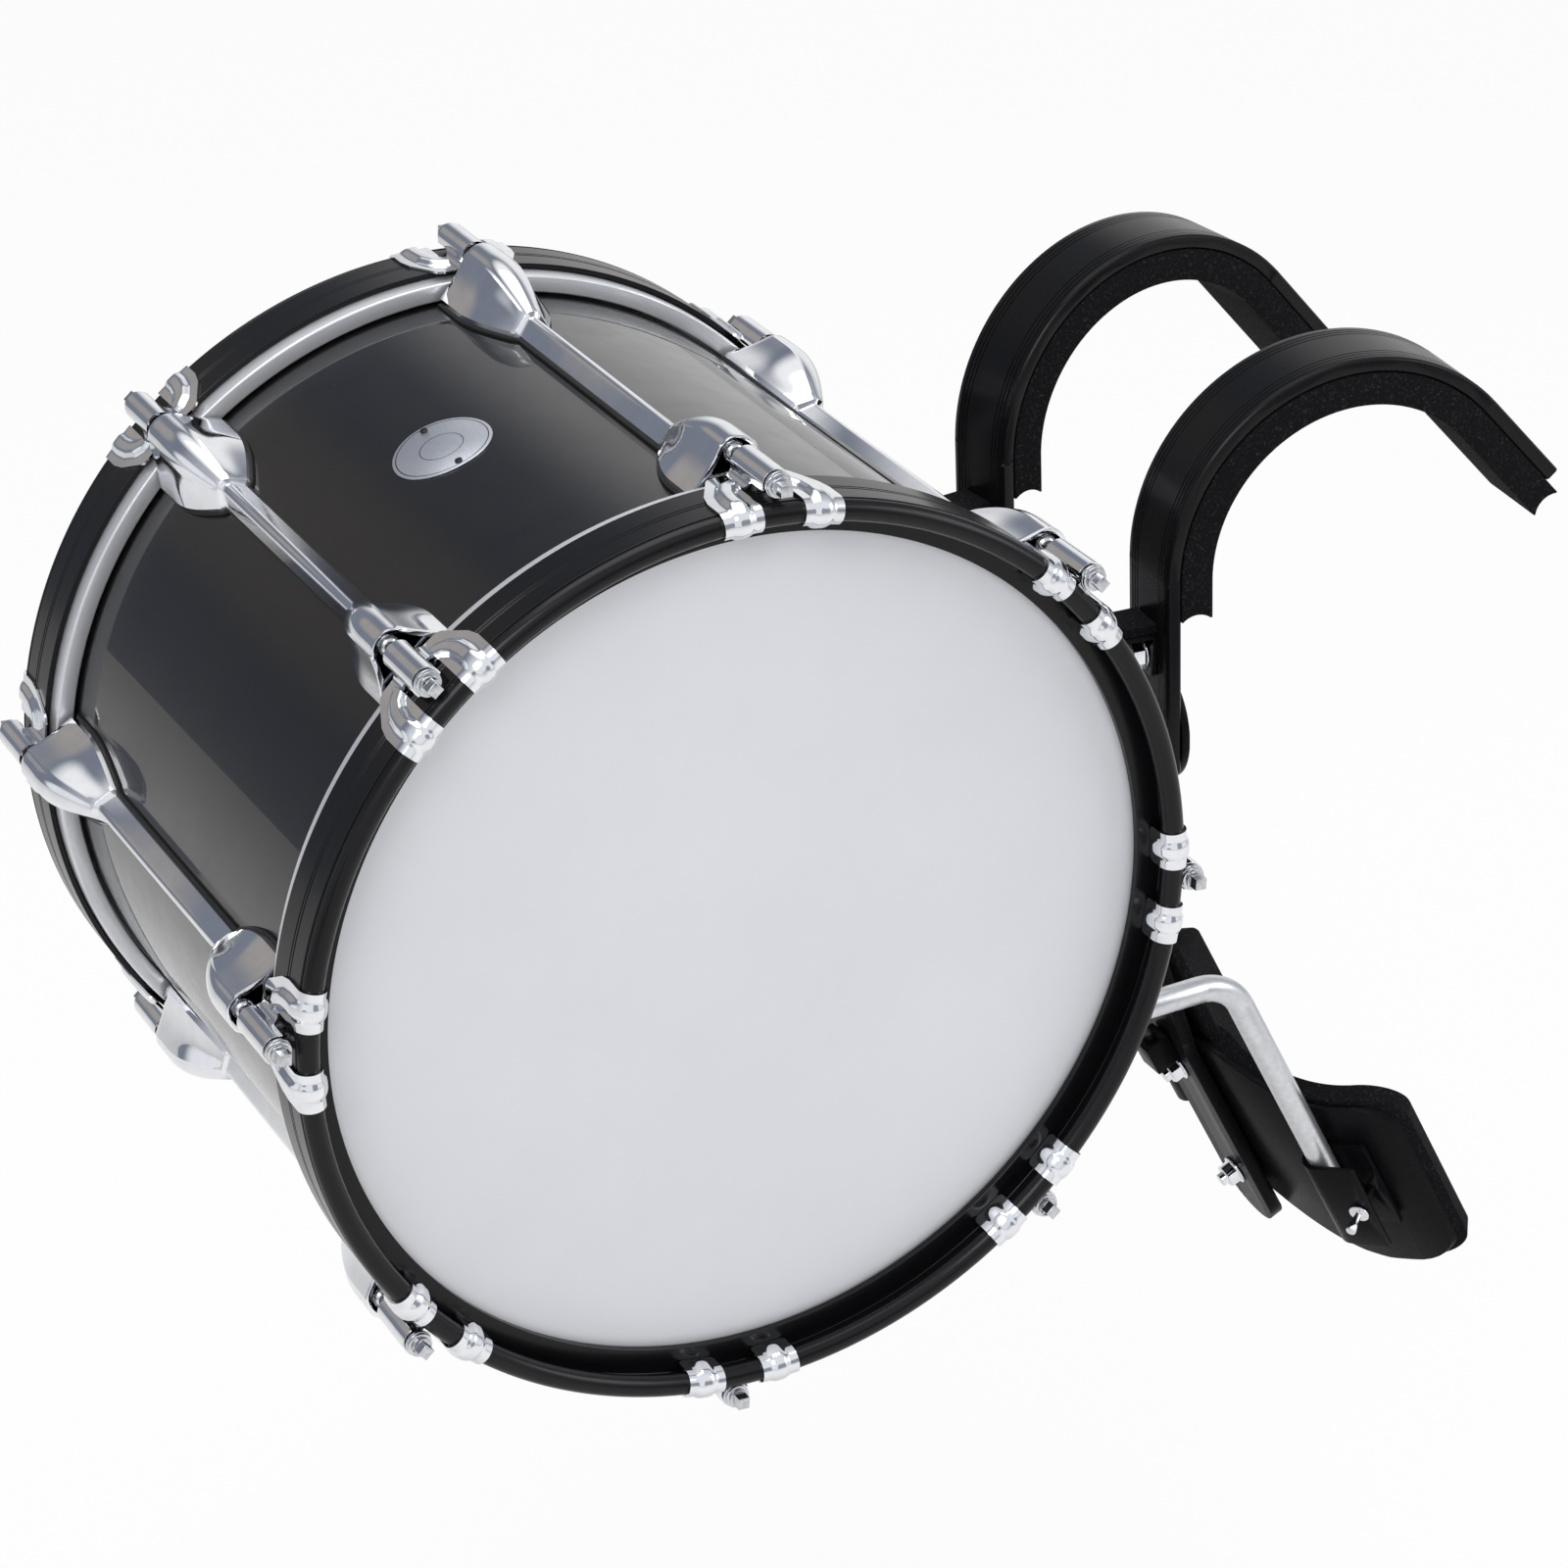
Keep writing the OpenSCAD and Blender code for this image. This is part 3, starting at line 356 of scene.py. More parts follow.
def addHeads():
    film = newFinish("headFilm", head["colour"], head["shade"], 0.38, 0.04, specular=0.35, scale=9, strength=0.02)[0]
    hoopMetal = newFinish("fleshHoopMetal", (0.76, 0.77, 0.80), (0.62, 0.63, 0.66), 0.38, 0.1, 0.6,
                          stretch=(0.1, 1, 1), around=1, scale=300, strength=0.2, depth=0.0002)[0]
    low, top, crown, collar, collarLow = (head[k] for k in ("filmLow", "filmTop", "crown", "collar", "collarLow"))
    for name, side in sides.items():
        outline = [(0, low), (crown, low), (collar, low - 3), (collar, collarLow), (collar + 0.5, collarLow),
                   (collar + 0.5, low - 2.6), (crown + 0.25, top), (crown - 2, top), (0, top)]
        bm = turnOutline([(r, side * y) for r, y in outline], 256)
        moveToDrum(bm)
        makePiece("film_" + name, bm, "drum", "film", [film], ["head_" + name], 50)
        a, b, c, d = (head[k] for k in ("hoopInner", "hoopOuter", "hoopLow", "hoopTop"))
        bm = turnOutline([(r, side * y) for r, y in ((a, c), (b, c), (b, d), (a, d))])
        bevelSharp(bm, 1.2, 3)
        moveToDrum(bm)
        makePiece("fleshHoop_" + name, bm, "drum", "bare_aluminium", [hoopMetal], ["flesh_hoop_" + name])


addHeads()
print("heads made")


# Counter hoops

hoop = {
    "radius": 243, "skirt": 2.7, "low": 166.1, "top": 203.1, "lip": 5.75, "wall": 6.5,
    "footRadius": 231, "footLow": 172.4, "ribRadius": 222.6, "ribLow": 182.6, "ribTop": 186.6,
    "grooves": (180.6, 183.1), "grooveWidth": 0.8, "grooveDepth": 0.6, "seamAngle": -50.3,
    "colour": (0.004, 0.004, 0.005), "shade": (0.006, 0.006, 0.007),
    "seamHalf": 0.25, "seamColour": (0.0008, 0.0008, 0.0008),
}


def hoopOutline():
    r, lip, depth, width = hoop["radius"], hoop["lip"], hoop["grooveDepth"], hoop["grooveWidth"]
    lipY = hoop["top"] - lip
    wallR = r - hoop["wall"]
    outer = [(r, hoop["low"])]
    for y in hoop["grooves"]:
        outer += [(r, y), (r - depth, y), (r - depth, y + width), (r, y + width)]
    outer += [(r, lipY - width - 0.6), (r - 2 * depth, lipY - width - 0.2),
              (r - 2 * depth, lipY - 0.2), (r - 0.15, lipY + 0.6)]
    turns = [12 + i * 10 for i in range(24)]
    arc = [(r - lip + lip * math.cos(math.radians(a)), lipY + lip * math.sin(math.radians(a))) for a in turns]
    inner = [(wallR, lipY - lip + 0.1), (wallR, hoop["ribTop"]), (hoop["ribRadius"], hoop["ribTop"]),
             (hoop["ribRadius"], hoop["ribLow"]), (hoop["footRadius"], hoop["ribLow"]),
             (hoop["footRadius"], hoop["footLow"]),
             (r - hoop["skirt"], hoop["footLow"]), (r - hoop["skirt"], hoop["low"])]
    return outer + arc + inner


def hoopMaterial():
    material, tree, shader, place = newFinish(
        "hoopCoat", hoop["colour"], hoop["shade"], 0.25, 0.03, coat=0.12, coatRough=0.12,
        specular=0.18, stretch=(0.02, 1, 1), around=1, scale=900, strength=0.02)
    # The butt seam of the bent hoop, a dark line straight across it
    angle = math.radians(hoop["seamAngle"])
    local = vectorNode(tree, "SUBTRACT", place, centre)
    beside = mathNode(tree, "ABSOLUTE", vectorNode(tree, "DOT_PRODUCT", local, (-math.sin(angle), 0, math.cos(angle))))
    near = mathNode(tree, "LESS_THAN", beside, hoop["seamHalf"] * mm)
    toward = vectorNode(tree, "DOT_PRODUCT", local, (math.cos(angle), 0, math.sin(angle)))
    onSide = mathNode(tree, "GREATER_THAN", toward, 0)
    seam = mathNode(tree, "MULTIPLY", near, onSide)
    base = shader.inputs["Base Color"].links[0].from_socket
    tree.links.new(mixColours(tree, seam, base, hoop["seamColour"]), shader.inputs["Base Color"])
    return material


def addHoops():
    material = hoopMaterial()
    outline = hoopOutline()
    for name, side in sides.items():
        bm = turnOutline([(r, side * y) for r, y in outline], 320)
        bevelSharp(bm, 0.25, 1, 50)
        moveToDrum(bm)
        makePiece("counterHoop_" + name, bm, "drum", "hoop_coat", [material], ["hoop_" + name])


addHoops()
print("counter hoops made")


# Lugs with their gaskets

lug = {
    "length": 304, "seat": 230.2, "barWidth": 13, "barTop": 240.9, "podStart": 86, "podWidth": 47,
    "podTop": 260.4, "ridge": 9.5, "wall": 2.3, "flange": 3.3, "shelf": (240, 143, 150, 15),
}


def lugSection(a):
    # (half width, flange height, ridge radius, ridge top) at a mm from the middle
    if a < lug["podStart"]:
        return lug["barWidth"] / 2 + 0.8, 1.6, 3.4, lug["barTop"]
    q = (a - lug["podStart"]) / (lug["length"] / 2 - lug["podStart"])
    half = 9.4 + (lug["podWidth"] / 2 - 9.4) * quarterWave(q / 0.66)
    ridge = 4.6 + (lug["ridge"] - 4.6) * quarterWave(q / 0.6)
    top = lug["barTop"] + 2.6 + (lug["podTop"] - lug["barTop"] - 2.6) * quarterWave(q / 0.74)
    return half, lug["flange"], ridge, top


def lugPoint(u, y):
    half, flange, ridge, top = lugSection(abs(y))
    s = abs(2 * u - 1)
    sign = 1 if u > 0.5 else -1
    base, mid = lug["seat"] + flange, top - ridge
    away = math.hypot(half, base - mid)
    turn = math.atan2(half, base - mid) - math.acos(min(1, ridge / away))
    if s > 0.88:
        across, radius = half, lug["seat"] + flange * (1 - s) / 0.12
    elif s > 0.48:
        t = (0.88 - s) / 0.4
        end = (ridge * math.sin(turn), mid + ridge * math.cos(turn))
        sag = 1.1 * math.sin(math.pi * t) * smoothStep(half, 10, 20)
        crease = 0.7 * smoothStep(half, 9, 12) * smoothStep(t, 0.3, 1)
        across, radius = half + (end[0] - half) * t - sag + crease, base + (end[1] - base) * t - 0.4 * sag
    else:
        angle = turn * s / 0.48
        across, radius = ridge * math.sin(angle), mid + ridge * math.cos(angle)
    return polar(radius, sign * across, y)


def addLugs():
    start, end = lug["podStart"], lug["length"] / 2
    half = stretchRows([(start - 0.01, 1), (start + 0.7, 22), (end, 0)])
    rows = [-y for y in reversed(half)] + half
    for i, angle in enumerate(lugAngles):
        bm = gridSheet(50, len(rows) - 1, lambda u, v: lugPoint(u, rows[round(v * (len(rows) - 1))]))
        bmesh.ops.recalc_face_normals(bm, faces=bm.faces)
        if sum(f.normal.x for f in bm.faces) < 0:
            bmesh.ops.reverse_faces(bm, faces=bm.faces)
        bmesh.ops.solidify(bm, geom=bm.faces[:], thickness=lug["wall"] * mm)
        bevelSharp(bm, 0.5, 2, 45)
        radius, low, high, reach = lug["shelf"]
        for side in sides.values():
            shelf = bmesh.new()
            bmesh.ops.create_cube(shelf, size=1)
            bmesh.ops.scale(shelf, verts=shelf.verts, vec=Vector((3, high - low, 2 * reach)) * mm)
            bmesh.ops.translate(shelf, verts=shelf.verts, vec=Vector((radius, side * (low + high) / 2, 0)) * mm)
            bevelSharp(shelf, 0.8)
            joinInto(bm, shelf)
        roundDrum(bm, angle)
        moveToDrum(bm)
        makePiece(f"lugCasting_{i + 1}", bm, "drum", "lug_plate", [chrome], [f"lug_{i + 1}"], 28)


def addGaskets():
    rubber = newFinish("gasketRubber", (0.006, 0.006, 0.006), (0.014, 0.014, 0.014), 0.6, 0.1,
                       scale=700, strength=0.3)[0]
    end = lug["length"] / 2 + 1
    rows = stretchRows([(-end, 24), (-lug["podStart"] + 1, 1), (lug["podStart"] - 1, 24), (end, 0)])

    def place(u, v):
        y = rows[round(v * (len(rows) - 1))]
        half = lugSection(min(abs(y), end - 1))[0] + 1.1
        return polar(drum["shellRadius"] + 0.1, (2 * u - 1) * half, y)

    whole = bmesh.new()
    for angle in lugAngles:
        bm = gridSheet(12, len(rows) - 1, place)
        bmesh.ops.recalc_face_normals(bm, faces=bm.faces)
        if sum(f.normal.x for f in bm.faces) > 0:
            bmesh.ops.reverse_faces(bm, faces=bm.faces)
        bmesh.ops.solidify(bm, geom=bm.faces[:], thickness=1.4 * mm)
        roundDrum(bm, angle)
        moveToDrum(bm)
        joinInto(whole, bm)
    makePiece("lugGaskets", whole, "drum", "gasket", [rubber], ["lug_gaskets"])


addLugs()
addGaskets()
print("lugs made")


# Stamped double claws

claw = {
    "sheet": 1.2, "gap": 0.25, "inner": 11.2, "outline": ((0, 20.5), (18, 30.3), (26, 32.2)),
    "tabLow": 186.9, "tabCorner": 3, "backCorner": 3,
    "barrel": 7.5, "barrelLow": 160.1, "barrelTop": 194.1, "skirtEnd": 15, "notchEnd": 23,
    "rib": 2.7, "ribHalf": 4.6, "ribSlope": 2.6, "ribLine": ((13, 12.5), (17, 15.5), (20.3, 22), (21.6, 30)),
    "lipShare": 0.44, "columns": 24,
}


def clawRun():
    # Lengths of the straight outside, the bend round the lip and the tab inside, and the bend's radius
    inner = hoop["lip"] + claw["gap"] + claw["sheet"] / 2
    lipY = hoop["top"] - hoop["lip"]
    return lipY - claw["barrelLow"], math.pi * inner, lipY - claw["tabLow"], inner


def clawRows():
    outside, bend, inside, _ = clawRun()
    return stretchRows([(0, 37), (outside, 22), (outside + bend, 12), (outside + bend + inside, 0)])


def clawArmPoint(run, offset, across):
    # A point run mm along the arm from its back edge, lifted offset mm off the hoop
    outside, bend, inside, inner = clawRun()
    lipY = hoop["top"] - hoop["lip"]
    mid = hoop["radius"] - hoop["lip"]
    if run < outside:
        radius, y = mid + inner + offset, claw["barrelLow"] + run
    elif run < outside + bend:
        angle = (run - outside) / inner
        radius, y = mid + (inner + offset) * math.cos(angle), lipY + (inner + offset) * math.sin(angle)
    else:
        radius, y = mid - inner - offset, lipY - (run - outside - bend)
    return polar(radius, across, y, hoop["radius"])


def alongMarks(value, marks):
    for (a, b), (c, d) in zip(marks, marks[1:]):
        if value <= c:
            return b + (d - b) * max(0, value - a) / (c - a)
    return marks[-1][1]


def fromLine(point, line):
    # Distance of a flat point from a line through several places
    best = 1e9
    for start, end in zip(line, line[1:]):
        a, b, p = Vector(start), Vector(end), Vector(point)
        t = min(1, max(0, (p - a).dot(b - a) / (b - a).length_squared))
        best = min(best, (p - a - (b - a) * t).length)
    return best


def ribLift(across, run):
    outside, bend, inside, _ = clawRun()
    total = outside + bend + inside
    away = fromLine((across, run), claw["ribLine"] + ((21.6, total - 7.5),))
    half, slope = claw["ribHalf"], claw["ribSlope"]
    lift = claw["rib"] * (1 - smoothStep(away, half - slope, half + slope / 2))
    onLip = smoothStep(run, outside - 3, outside + 4) * (1 - smoothStep(run, outside + bend - 4, outside + bend + 3))
    return lift * (1 - (1 - claw["lipShare"]) * onLip)


def clawArm(sign):
    rows = clawRows()
    total = rows[-1]

    def place(u, v):
        run = rows[round(v * (len(rows) - 1))]
        corner = claw["tabCorner"]
        tip = corner * (1 - math.sqrt(1 - min(1, max(0, (run - total + corner) / corner)) ** 2))
        low = claw["inner"] + tip
        high = alongMarks(run, claw["outline"]) - tip
        corner = claw["backCorner"]
        high -= corner * (1 - math.sqrt(1 - min(1, max(0, (corner - run) / corner)) ** 2))
        across = low + (high - low) * u
        return clawArmPoint(run, ribLift(across, run), sign * across)

    return gridSheet(claw["columns"], len(rows) - 1, place)


def clawBarrel():
    # Half tube over the rod, whose walls run down and out into the arms and are cut away near the head
    flat = hoop["radius"] + claw["gap"] + claw["sheet"] / 2
    top = claw["barrel"] - claw["sheet"] / 2
    axis = drum["rodCircle"]
    line = [(top * math.sin(math.radians(a)), axis + top * math.cos(math.radians(a))) for a in range(0, 91, 9)]
    wide, deep = claw["inner"] - top, axis - 2 - flat
    line += [(claw["inner"] - wide * math.cos(math.radians(a)), flat + deep - deep * math.sin(math.radians(a)))
             for a in range(0, 91, 10)]
    steps = len(line) - 1
    rows = [r for r in clawRows() if r <= claw["barrelTop"] - claw["barrelLow"]]

    def place(u, v):
        run = rows[round(v * (len(rows) - 1))]
        reach = 1 - 0.42 * smoothStep(run, claw["skirtEnd"], claw["notchEnd"])
        w = abs(2 * u - 1) * reach * steps
        i = min(int(w), steps - 1)
        across = line[i][0] + (line[i + 1][0] - line[i][0]) * (w - i)
        radius = line[i][1] + (line[i + 1][1] - line[i][1]) * (w - i)
        return polar(radius, across if u > 0.5 else -across, claw["barrelLow"] + run, hoop["radius"])

    return gridSheet(2 * steps, len(rows) - 1, place)


def oneClaw():
    bm = clawBarrel()
    for sign in (-1, 1):
        joinInto(bm, clawArm(sign))
    bmesh.ops.remove_doubles(bm, verts=bm.verts, dist=0.05 * mm)
    bmesh.ops.recalc_face_normals(bm, faces=bm.faces)
    top = [f for f in bm.faces if f.calc_center_median().x > (drum["rodCircle"] + 4) * mm]
    if sum(f.normal.x for f in top) < 0:
        bmesh.ops.reverse_faces(bm, faces=bm.faces)
    bm.normal_update()
    moved = [(vert, vert.co + vert.normal * claw["sheet"] / 2 * mm) for vert in bm.verts]
    for vert, co in moved:
        vert.co = co
    bmesh.ops.solidify(bm, geom=bm.faces[:], thickness=claw["sheet"] * mm)
    return bm


def addClaws():
    pattern = bpy.data.meshes.new("clawPattern")
    bm = oneClaw()
    bm.to_mesh(pattern)
    bm.free()
    for name, side in sides.items():
        whole = bmesh.new()
        for angle in lugAngles:
            bm = bmesh.new()
            bm.from_mesh(pattern)
            if side < 0:
                bmesh.ops.scale(bm, verts=bm.verts, vec=(1, -1, 1))
                bmesh.ops.reverse_faces(bm, faces=bm.faces)
            roundDrum(bm, angle)
            moveToDrum(bm)
            joinInto(whole, bm)
        makePiece("stampedClaws_" + name, whole, "drum", "chrome_steel", [chrome], ["claws_" + name], 40)


addClaws()
print("claws made")


# Tension rods, their nuts and washers

rod = {"pitch": 1.0, "threadDepth": 0.35, "threadEnd": 165}


def rodMaterial():
    material, tree, shader, place = newFinish(
        "rodSteel", (0.66, 0.67, 0.69), (0.48, 0.49, 0.51), 0.22, 0.06, 1, scale=500, strength=0.1)
    thread = addNode(tree, "ShaderNodeTexWave", {"bands_direction": "Y"},
                     {"Vector": place, "Scale": 1 / (rod["pitch"] * mm) * math.tau / 20, "Distortion": 0})
    along = addNode(tree, "ShaderNodeSeparateXYZ", None, {0: place}).outputs[1]
    inside = mathNode(tree, "LESS_THAN", mathNode(tree, "ABSOLUTE", along), rod["threadEnd"] * mm)
    height = mathNode(tree, "MULTIPLY", thread.outputs["Fac"], inside)
    bump = addNode(tree, "ShaderNodeBump", None, {
        "Strength": 0.6, "Distance": rod["threadDepth"] * mm, "Height": height,
        "Normal": shader.inputs["Normal"].links[0].from_socket})
    tree.links.new(bump.outputs[0], shader.inputs["Normal"])
    return material


def addRods():
    material = rodMaterial()
    for side in sides:
        for i in range(1, drum["lugCount"] + 1):
            node = f"tension_rod_{side}_{i}"
            refine(node, f"keyRod_{side}_{i}", node, "bright_steel", material, 0.5)
    for node, name, width in (("swivel_nuts", "swivelNuts", 0.3), ("rod_washers", "rodWashers", 0.3),
                              ("lug_screws", "lugScrews", 0.2), ("receiver_screws", "receiverScrews", 0.2)):
        refine(node, name, "drum", "bright_steel", steel, width)


addRods()
print("rods made")


# Round badge with two rings and two pins

badge = {
    "angle": 107.2, "face": 229.5, "rings": ((24.6, 0.28), (11.6, 0.22)),
    "colour": (0.60, 0.62, 0.67), "shade": (0.50, 0.52, 0.57), "line": (0.02, 0.02, 0.022),
}


def addBadge():
    angle = math.radians(badge["angle"])
    middle = centre + Vector((math.cos(angle), 0, math.sin(angle))) * badge["face"] * mm
    material, tree, shader, place = newFinish("badgePlate", badge["colour"], badge["shade"], 0.36, 0.06, 0.85,
                                              stretch=(1, 0.08, 1), scale=1200, strength=0.1)
    away = vectorNode(tree, "DISTANCE", place, middle)
    colour = shader.inputs["Base Color"].links[0].from_socket
    for radius, half in badge["rings"]:
        off = mathNode(tree, "ABSOLUTE", mathNode(tree, "SUBTRACT", away, radius * mm))
        line = mathNode(tree, "LESS_THAN", off, half * mm)
        colour = mixColours(tree, line, colour, badge["line"])
    tree.links.new(colour, shader.inputs["Base Color"])
    refine("badge", "badgeDisc", "drum", "badge_plate", material, 0.25)
    dark = newFinish("pinSteel", (0.03, 0.03, 0.032), (0.07, 0.07, 0.075), 0.3, 0.08, 1, scale=900)[0]
    refine("badge_pins", "badgePins", "drum", "dark_steel", dark, 0.3, 3)


addBadge()
print("badge made")


# Carrier: extruded bars, plates, brackets and bolts

carrier = {
    "barColour": (0.004, 0.004, 0.005), "barShade": (0.007, 0.007, 0.008),
    "knobColour": (0.010, 0.010, 0.010), "knobShade": (0.018, 0.018, 0.018),
    "tubeColour": (0.70, 0.71, 0.73), "tubeShade": (0.60, 0.61, 0.63),
}


def addCarrier():
    bars = newFinish("barAnodise", carrier["barColour"], carrier["barShade"], 0.24, 0.04, coat=0.04, coatRough=0.15,
                     specular=0.14, scale=900, strength=0.05, depth=0.0002)[0]
    for side in ("left", "right"):
        refine("shoulder_bar_" + side, "shoulderBar_" + side, "yoke", "bar_anodise", bars, 0.2, 1)
    spineFinish = newFinish("spineAnodise", carrier["barColour"], carrier["barShade"], 0.3, 0.04, specular=0.05,
                            scale=900, strength=0.05, depth=0.0002)[0]
    refine("spine", "spineBar", "spine", "bar_anodise", spineFinish, 0.2, 1)
    plastic = newFinish("knobPlastic", carrier["knobColour"], carrier["knobShade"], 0.35, 0.08, scale=500)[0]
    for node, name, body, slot, finish, width in (
            ("chest_plate", "chestPlate", "yoke", "black_coat", coatedBlack, 0.5),
            ("angle_brackets", "angleBrackets", "yoke", "black_coat", coatedBlack, 0.4),
            ("chest_bolts", "chestBolts", "yoke", "bright_steel", chrome, 0.4),
            ("spine_bolts", "spineBolts", "spine", "bright_steel", chrome, 0.4),
            ("clamp_block", "clampBlock", "spine", "black_coat", coatedBlack, 0.8),
            ("clamp_knob", "clampKnob", "knob", "knob", plastic, 0.2),
            ("belly_plate", "bellyPlate", "belly", "black_coat", coatedBlack, 0.5),
            ("sockets", "tubeSockets", "belly", "black_coat", coatedBlack, 0.4),
            ("hook_receivers", "hookReceivers", "drum", "black_coat", coatedBlack, 0.5)):
        refine(node, name, body, slot, finish, width)
    tube = newFinish("tubeAluminium", carrier["tubeColour"], carrier["tubeShade"], 0.32, 0.06, 0.85,
                     scale=300, strength=0.08)[0]
    for side in ("left", "right"):
        refine("socket_screw_" + side, "socketScrew_" + side, "socket_screw_" + side, "bright_steel", chrome, 0.3)
        refine("j_bar_" + side, "bentTube_" + side, "j_bar_" + side, "tube", tube, 0.6)


addCarrier()
print("carrier made")


# Foam pads

foam = {"round": 2.2, "smallRound": 0.8, "colour": (0.005, 0.005, 0.006), "shade": (0.06, 0.06, 0.065)}
bellyPad = {
    "vertex": (56.368, 0, -252.5), "tilt": 25, "axis": 160.3, "outer": 156.7, "halfWidth": 123.5,
    "low": 167, "lowDip": 40, "top": 33, "middleTop": 5, "topCorner": 20, "lowCorner": 16,
    "thick": 14.8, "edgeThick": 12, "crown": 22, "columns": 140, "rows": 76,
    "neckHalf": 24, "neckTop": 84, "neckLow": -30, "neckFace": 6.2, "neckSunk": 4, "neckLean": 8.5,
    "headRooms": (18, 110), "roomDepth": 3.2, "roomLength": 20, "roomWidth": 10.5, "roomSlope": 4,
}
foamMaterial = newFinish("paddingFoam", foam["colour"], foam["shade"], 0.92, 0.04, specular=0.1,
                         scale=900, strength=0.5, group=foamCells)[0]


def addRoundedPads():
    pads = (("shoulder_pad_left", foam["round"]), ("shoulder_pad_right", foam["round"]),
            ("bracket_pads", foam["smallRound"]))
    for node, width in pads:
        bm = refinedCopy(node, width, 4, 40)
        name = "foam" + "".join(word.capitalize() for word in node.split("_"))
        obj = makePiece(name, bm, "yoke", "foam", [foamMaterial], [node], 60)


def bellyPlace(n, y, z):
    # From the belly plate's own frame, in mm, to the scene
    tilt = math.radians(bellyPad["tilt"])
    x0, _, z0 = bellyPad["vertex"]
    return Vector((x0 + n * math.cos(tilt) - z * math.sin(tilt), y, z0 + n * math.sin(tilt) + z * math.cos(tilt))) * mm


def bellyEdges(t):
    # Top and bottom edge of the pad, down the slope, at t mm from its middle line
    half, start = bellyPad["halfWidth"], bellyPad["neckHalf"]
    topRound, lowRound = bellyPad["topCorner"], bellyPad["lowCorner"]
    rise = quarterWave((t - start) / (half - topRound - start))
    high = bellyPad["middleTop"] + (bellyPad["top"] - bellyPad["middleTop"]) * rise
    corner = min(1, max(0, (t - half + topRound) / topRound))
    high += topRound * (1 - math.sqrt(1 - corner ** 2))
    low = bellyPad["low"] - bellyPad["lowDip"] * (1 + math.cos(math.pi * min(1, t / (half - topRound)))) / 2
    corner = min(1, max(0, (t - half + lowRound) / lowRound))
    return high, low - lowRound * (1 - math.sqrt(1 - corner ** 2))


def addBellyPad():
    half = bellyPad["halfWidth"]

    def layer(inside):
        def place(u, v):
            t = math.sin((u - 0.5) * math.pi) * half
            high, low = bellyEdges(abs(t))
            s = high + (low - high) * (1 - math.cos(v * math.pi)) / 2
            edge = min(half - abs(t), s - high, low - s)
            neck = 1 - smoothStep(abs(t), bellyPad["neckHalf"] - 4, bellyPad["neckHalf"] + 14)
            edge = max(edge, min(low - s, 30) * neck)
            crown = math.sqrt(max(0, 1 - (1 - min(1, edge / bellyPad["crown"])) ** 2))
            depth = bellyPad["edgeThick"] + (bellyPad["thick"] - bellyPad["edgeThick"]) * crown
            # Rooms for the heads of the spine's bolts, as long as the plate's travel
            long, wide, slope = (bellyPad[k] for k in ("roomLength", "roomWidth", "roomSlope"))
            room = max(1 - smoothStep(abs(s - middle), long, long + slope) for middle in bellyPad["headRooms"])
            room *= bellyPad["roomDepth"] * (1 - smoothStep(abs(t), wide, wide + slope))
            radius = bellyPad["outer"] - (depth if inside else room)
            angle = math.asin(t / bellyPad["outer"])
            return bellyPlace(bellyPad["axis"] - radius * math.cos(angle), radius * math.sin(angle), -s)
        return gridSheet(bellyPad["columns"], bellyPad["rows"], place)

    bm = layer(False)
    joinInto(bm, layer(True))
    rims = [e for e in bm.edges if e.is_boundary]
    bmesh.ops.bridge_loops(bm, edges=rims)
    bmesh.ops.recalc_face_normals(bm, faces=bm.faces)
    bevelSharp(bm, 2.2, 3, 50)
    # The neck runs up behind the spine
    neck = bmesh.new()
    bmesh.ops.create_cube(neck, size=1)
    face, thick = bellyPad["neckFace"], bellyPad["thick"] - 1
    lean = math.tan(math.radians(bellyPad["neckLean"]))
    for vert in neck.verts:
        z, sunk = (bellyPad["neckTop"], 0) if vert.co.z > 0 else (bellyPad["neckLow"], bellyPad["neckSunk"])
        n = face + thick - sunk if vert.co.x > 0 else max(face, lean * z + 0.6)
        vert.co = bellyPlace(n, vert.co.y * 2 * bellyPad["neckHalf"], z)
    bmesh.ops.recalc_face_normals(neck, faces=neck.faces)
    bevelSharp(neck, 2.5, 4, 40)
    joinInto(bm, neck)
    obj = makePiece("foamBellyPad", bm, "belly", "foam", [foamMaterial], ["belly_pad"], 60)


addRoundedPads()
addBellyPad()
print("pads made")


# Floor, world and lamps

studio = {
    "floorDrop": 0.28, "floorSize": 12, "floorColour": (0.92, 0.92, 0.92),
    "worldGlow": 0.6,
    "nearRoom": (0.86, 0.88, 0.92), "farRoom": (0.20, 0.22, 0.27),
    "cards": (
        ((0.05, 0.25, 0.97), 0.80, 0.93, (1, 1, 1)),
        ((-0.35, 0.80, 0.42), 0.95, 0.995, (0.36, 0.34, 0.325)),
        ((0.62, 0.72, 0.20), 0.82, 0.98, (0.95, 0.95, 0.95)),
        ((-0.95, 0.30, 0.10), 0.93, 0.98, (0.85, 0.87, 0.90)),
        ((0.30, -0.85, 0.10), 0.93, 0.97, (0.30, 0.32, 0.36)),
        ((-0.80, -0.55, -0.10), 0.95, 0.985, (0.25, 0.27, 0.31)),
    ),
    "lamps": (
        ("keyLamp", (-2.2, -2.2, 2.6), 1.8, 42),
        ("topLamp", (-0.1, 0.3, 2.6), 2.2, 30),
        ("sideLamp", (2.2, -1.6, 1.2), 1.4, 16),
    ),
}


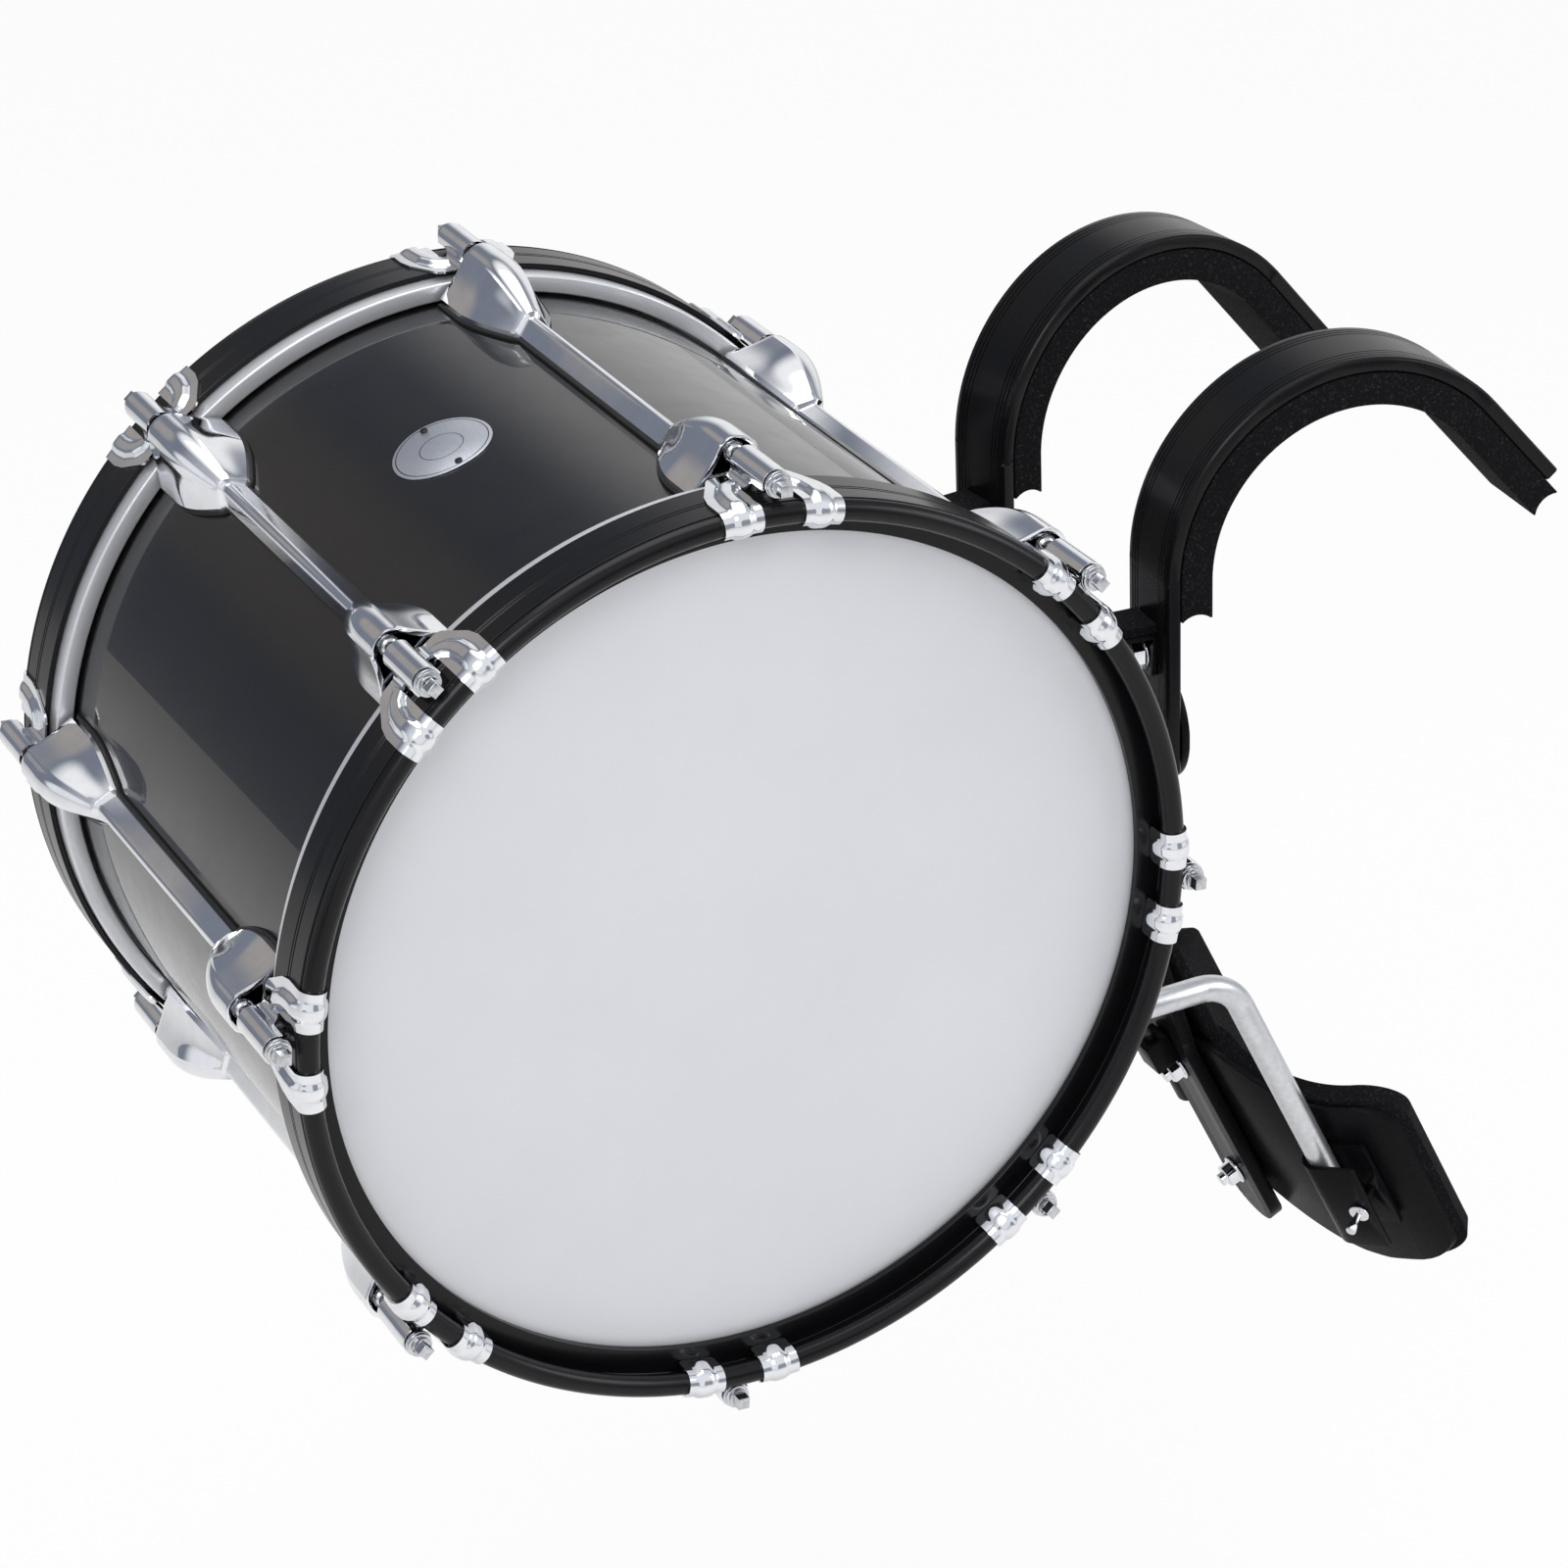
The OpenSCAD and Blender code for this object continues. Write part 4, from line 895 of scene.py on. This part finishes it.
def addFloor():
    bm = bmesh.new()
    bmesh.ops.create_grid(bm, x_segments=8, y_segments=8, size=studio["floorSize"] / 2)
    mesh = bpy.data.meshes.new("paleFloor")
    bm.to_mesh(mesh)
    bm.free()
    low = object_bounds()[0]
    mesh.transform(Matrix.Translation((-0.2, 0, low[2] - studio["floorDrop"])))
    obj = link(bpy.data.objects.new("paleFloor", mesh))
    material = bpy.data.materials.new("palePaper")
    material.use_nodes = True
    tree = material.node_tree
    shader = tree.nodes["Principled BSDF"]
    place = addNode(tree, "ShaderNodeTexCoord").outputs["Object"]
    cloud = addNode(tree, "ShaderNodeTexNoise", None, {"Vector": place, "Scale": 3}).outputs[0]
    mottled = mixColours(tree, cloud, studio["floorColour"], tuple(c * 0.99 for c in studio["floorColour"]))
    tree.links.new(mottled, shader.inputs["Base Color"])
    shader.inputs["Roughness"].default_value = 0.9
    glow = addNode(tree, "ShaderNodeEmission", None, {"Strength": 1.0})
    path = addNode(tree, "ShaderNodeLightPath")
    seen = mathNode(tree, "MULTIPLY", path.outputs["Is Camera Ray"], 0.9)
    mix = addNode(tree, "ShaderNodeMixShader", None, {0: seen, 1: shader.outputs[0], 2: glow.outputs[0]})
    tree.links.new(mix.outputs[0], tree.nodes["Material Output"].inputs[0])
    mesh.materials.append(material)


def addWorld():
    # White to the camera. Gloss and metal see the same white room with its darker far side and a few soft cards
    world = bpy.data.worlds.new("studioWorld")
    bpy.context.scene.world = world
    world.use_nodes = True
    tree = world.node_tree
    way = addNode(tree, "ShaderNodeTexCoord").outputs["Generated"]
    depth = addNode(tree, "ShaderNodeSeparateXYZ", None, {0: way}).outputs[1]
    room = mixColours(tree, mapRange(tree, depth, -0.35, 0.45, 0, 1), studio["nearRoom"], studio["farRoom"])
    for place, low, high, colour in studio["cards"]:
        near = vectorNode(tree, "DOT_PRODUCT", way, tuple(Vector(place).normalized()))
        soft = addNode(tree, "ShaderNodeMapRange", {"interpolation_type": "SMOOTHSTEP"},
                       dict(enumerate((near, low, high, 0.0, 1.0)))).outputs[0]
        room = mixColours(tree, soft, room, colour)
    path = addNode(tree, "ShaderNodeLightPath")
    mirrored = mathNode(tree, "MAXIMUM", path.outputs["Is Glossy Ray"], path.outputs["Is Transmission Ray"])
    colour = mixColours(tree, mirrored, (1, 1, 1), room)
    seen = mathNode(tree, "MAXIMUM", path.outputs["Is Camera Ray"], mirrored)
    background = tree.nodes["Background"]
    tree.links.new(colour, background.inputs[0])
    tree.links.new(mapRange(tree, seen, 0, 1, studio["worldGlow"], 1.0), background.inputs[1])


def addLamps():
    for name, place, size, power in studio["lamps"]:
        data = bpy.data.lights.new(name, "AREA")
        data.shape = "SQUARE"
        data.size = size
        data.energy = power
        obj = link(bpy.data.objects.new(name, data))
        aim = Vector((-0.15, 0, -0.05)) - Vector(place)
        obj.matrix_world = Matrix.Translation(place) @ aim.to_track_quat("-Z", "Y").to_matrix().to_4x4()


addFloor()
addWorld()
addLamps()
bpy.context.scene.view_settings.view_transform = "Standard"
print("studio made")
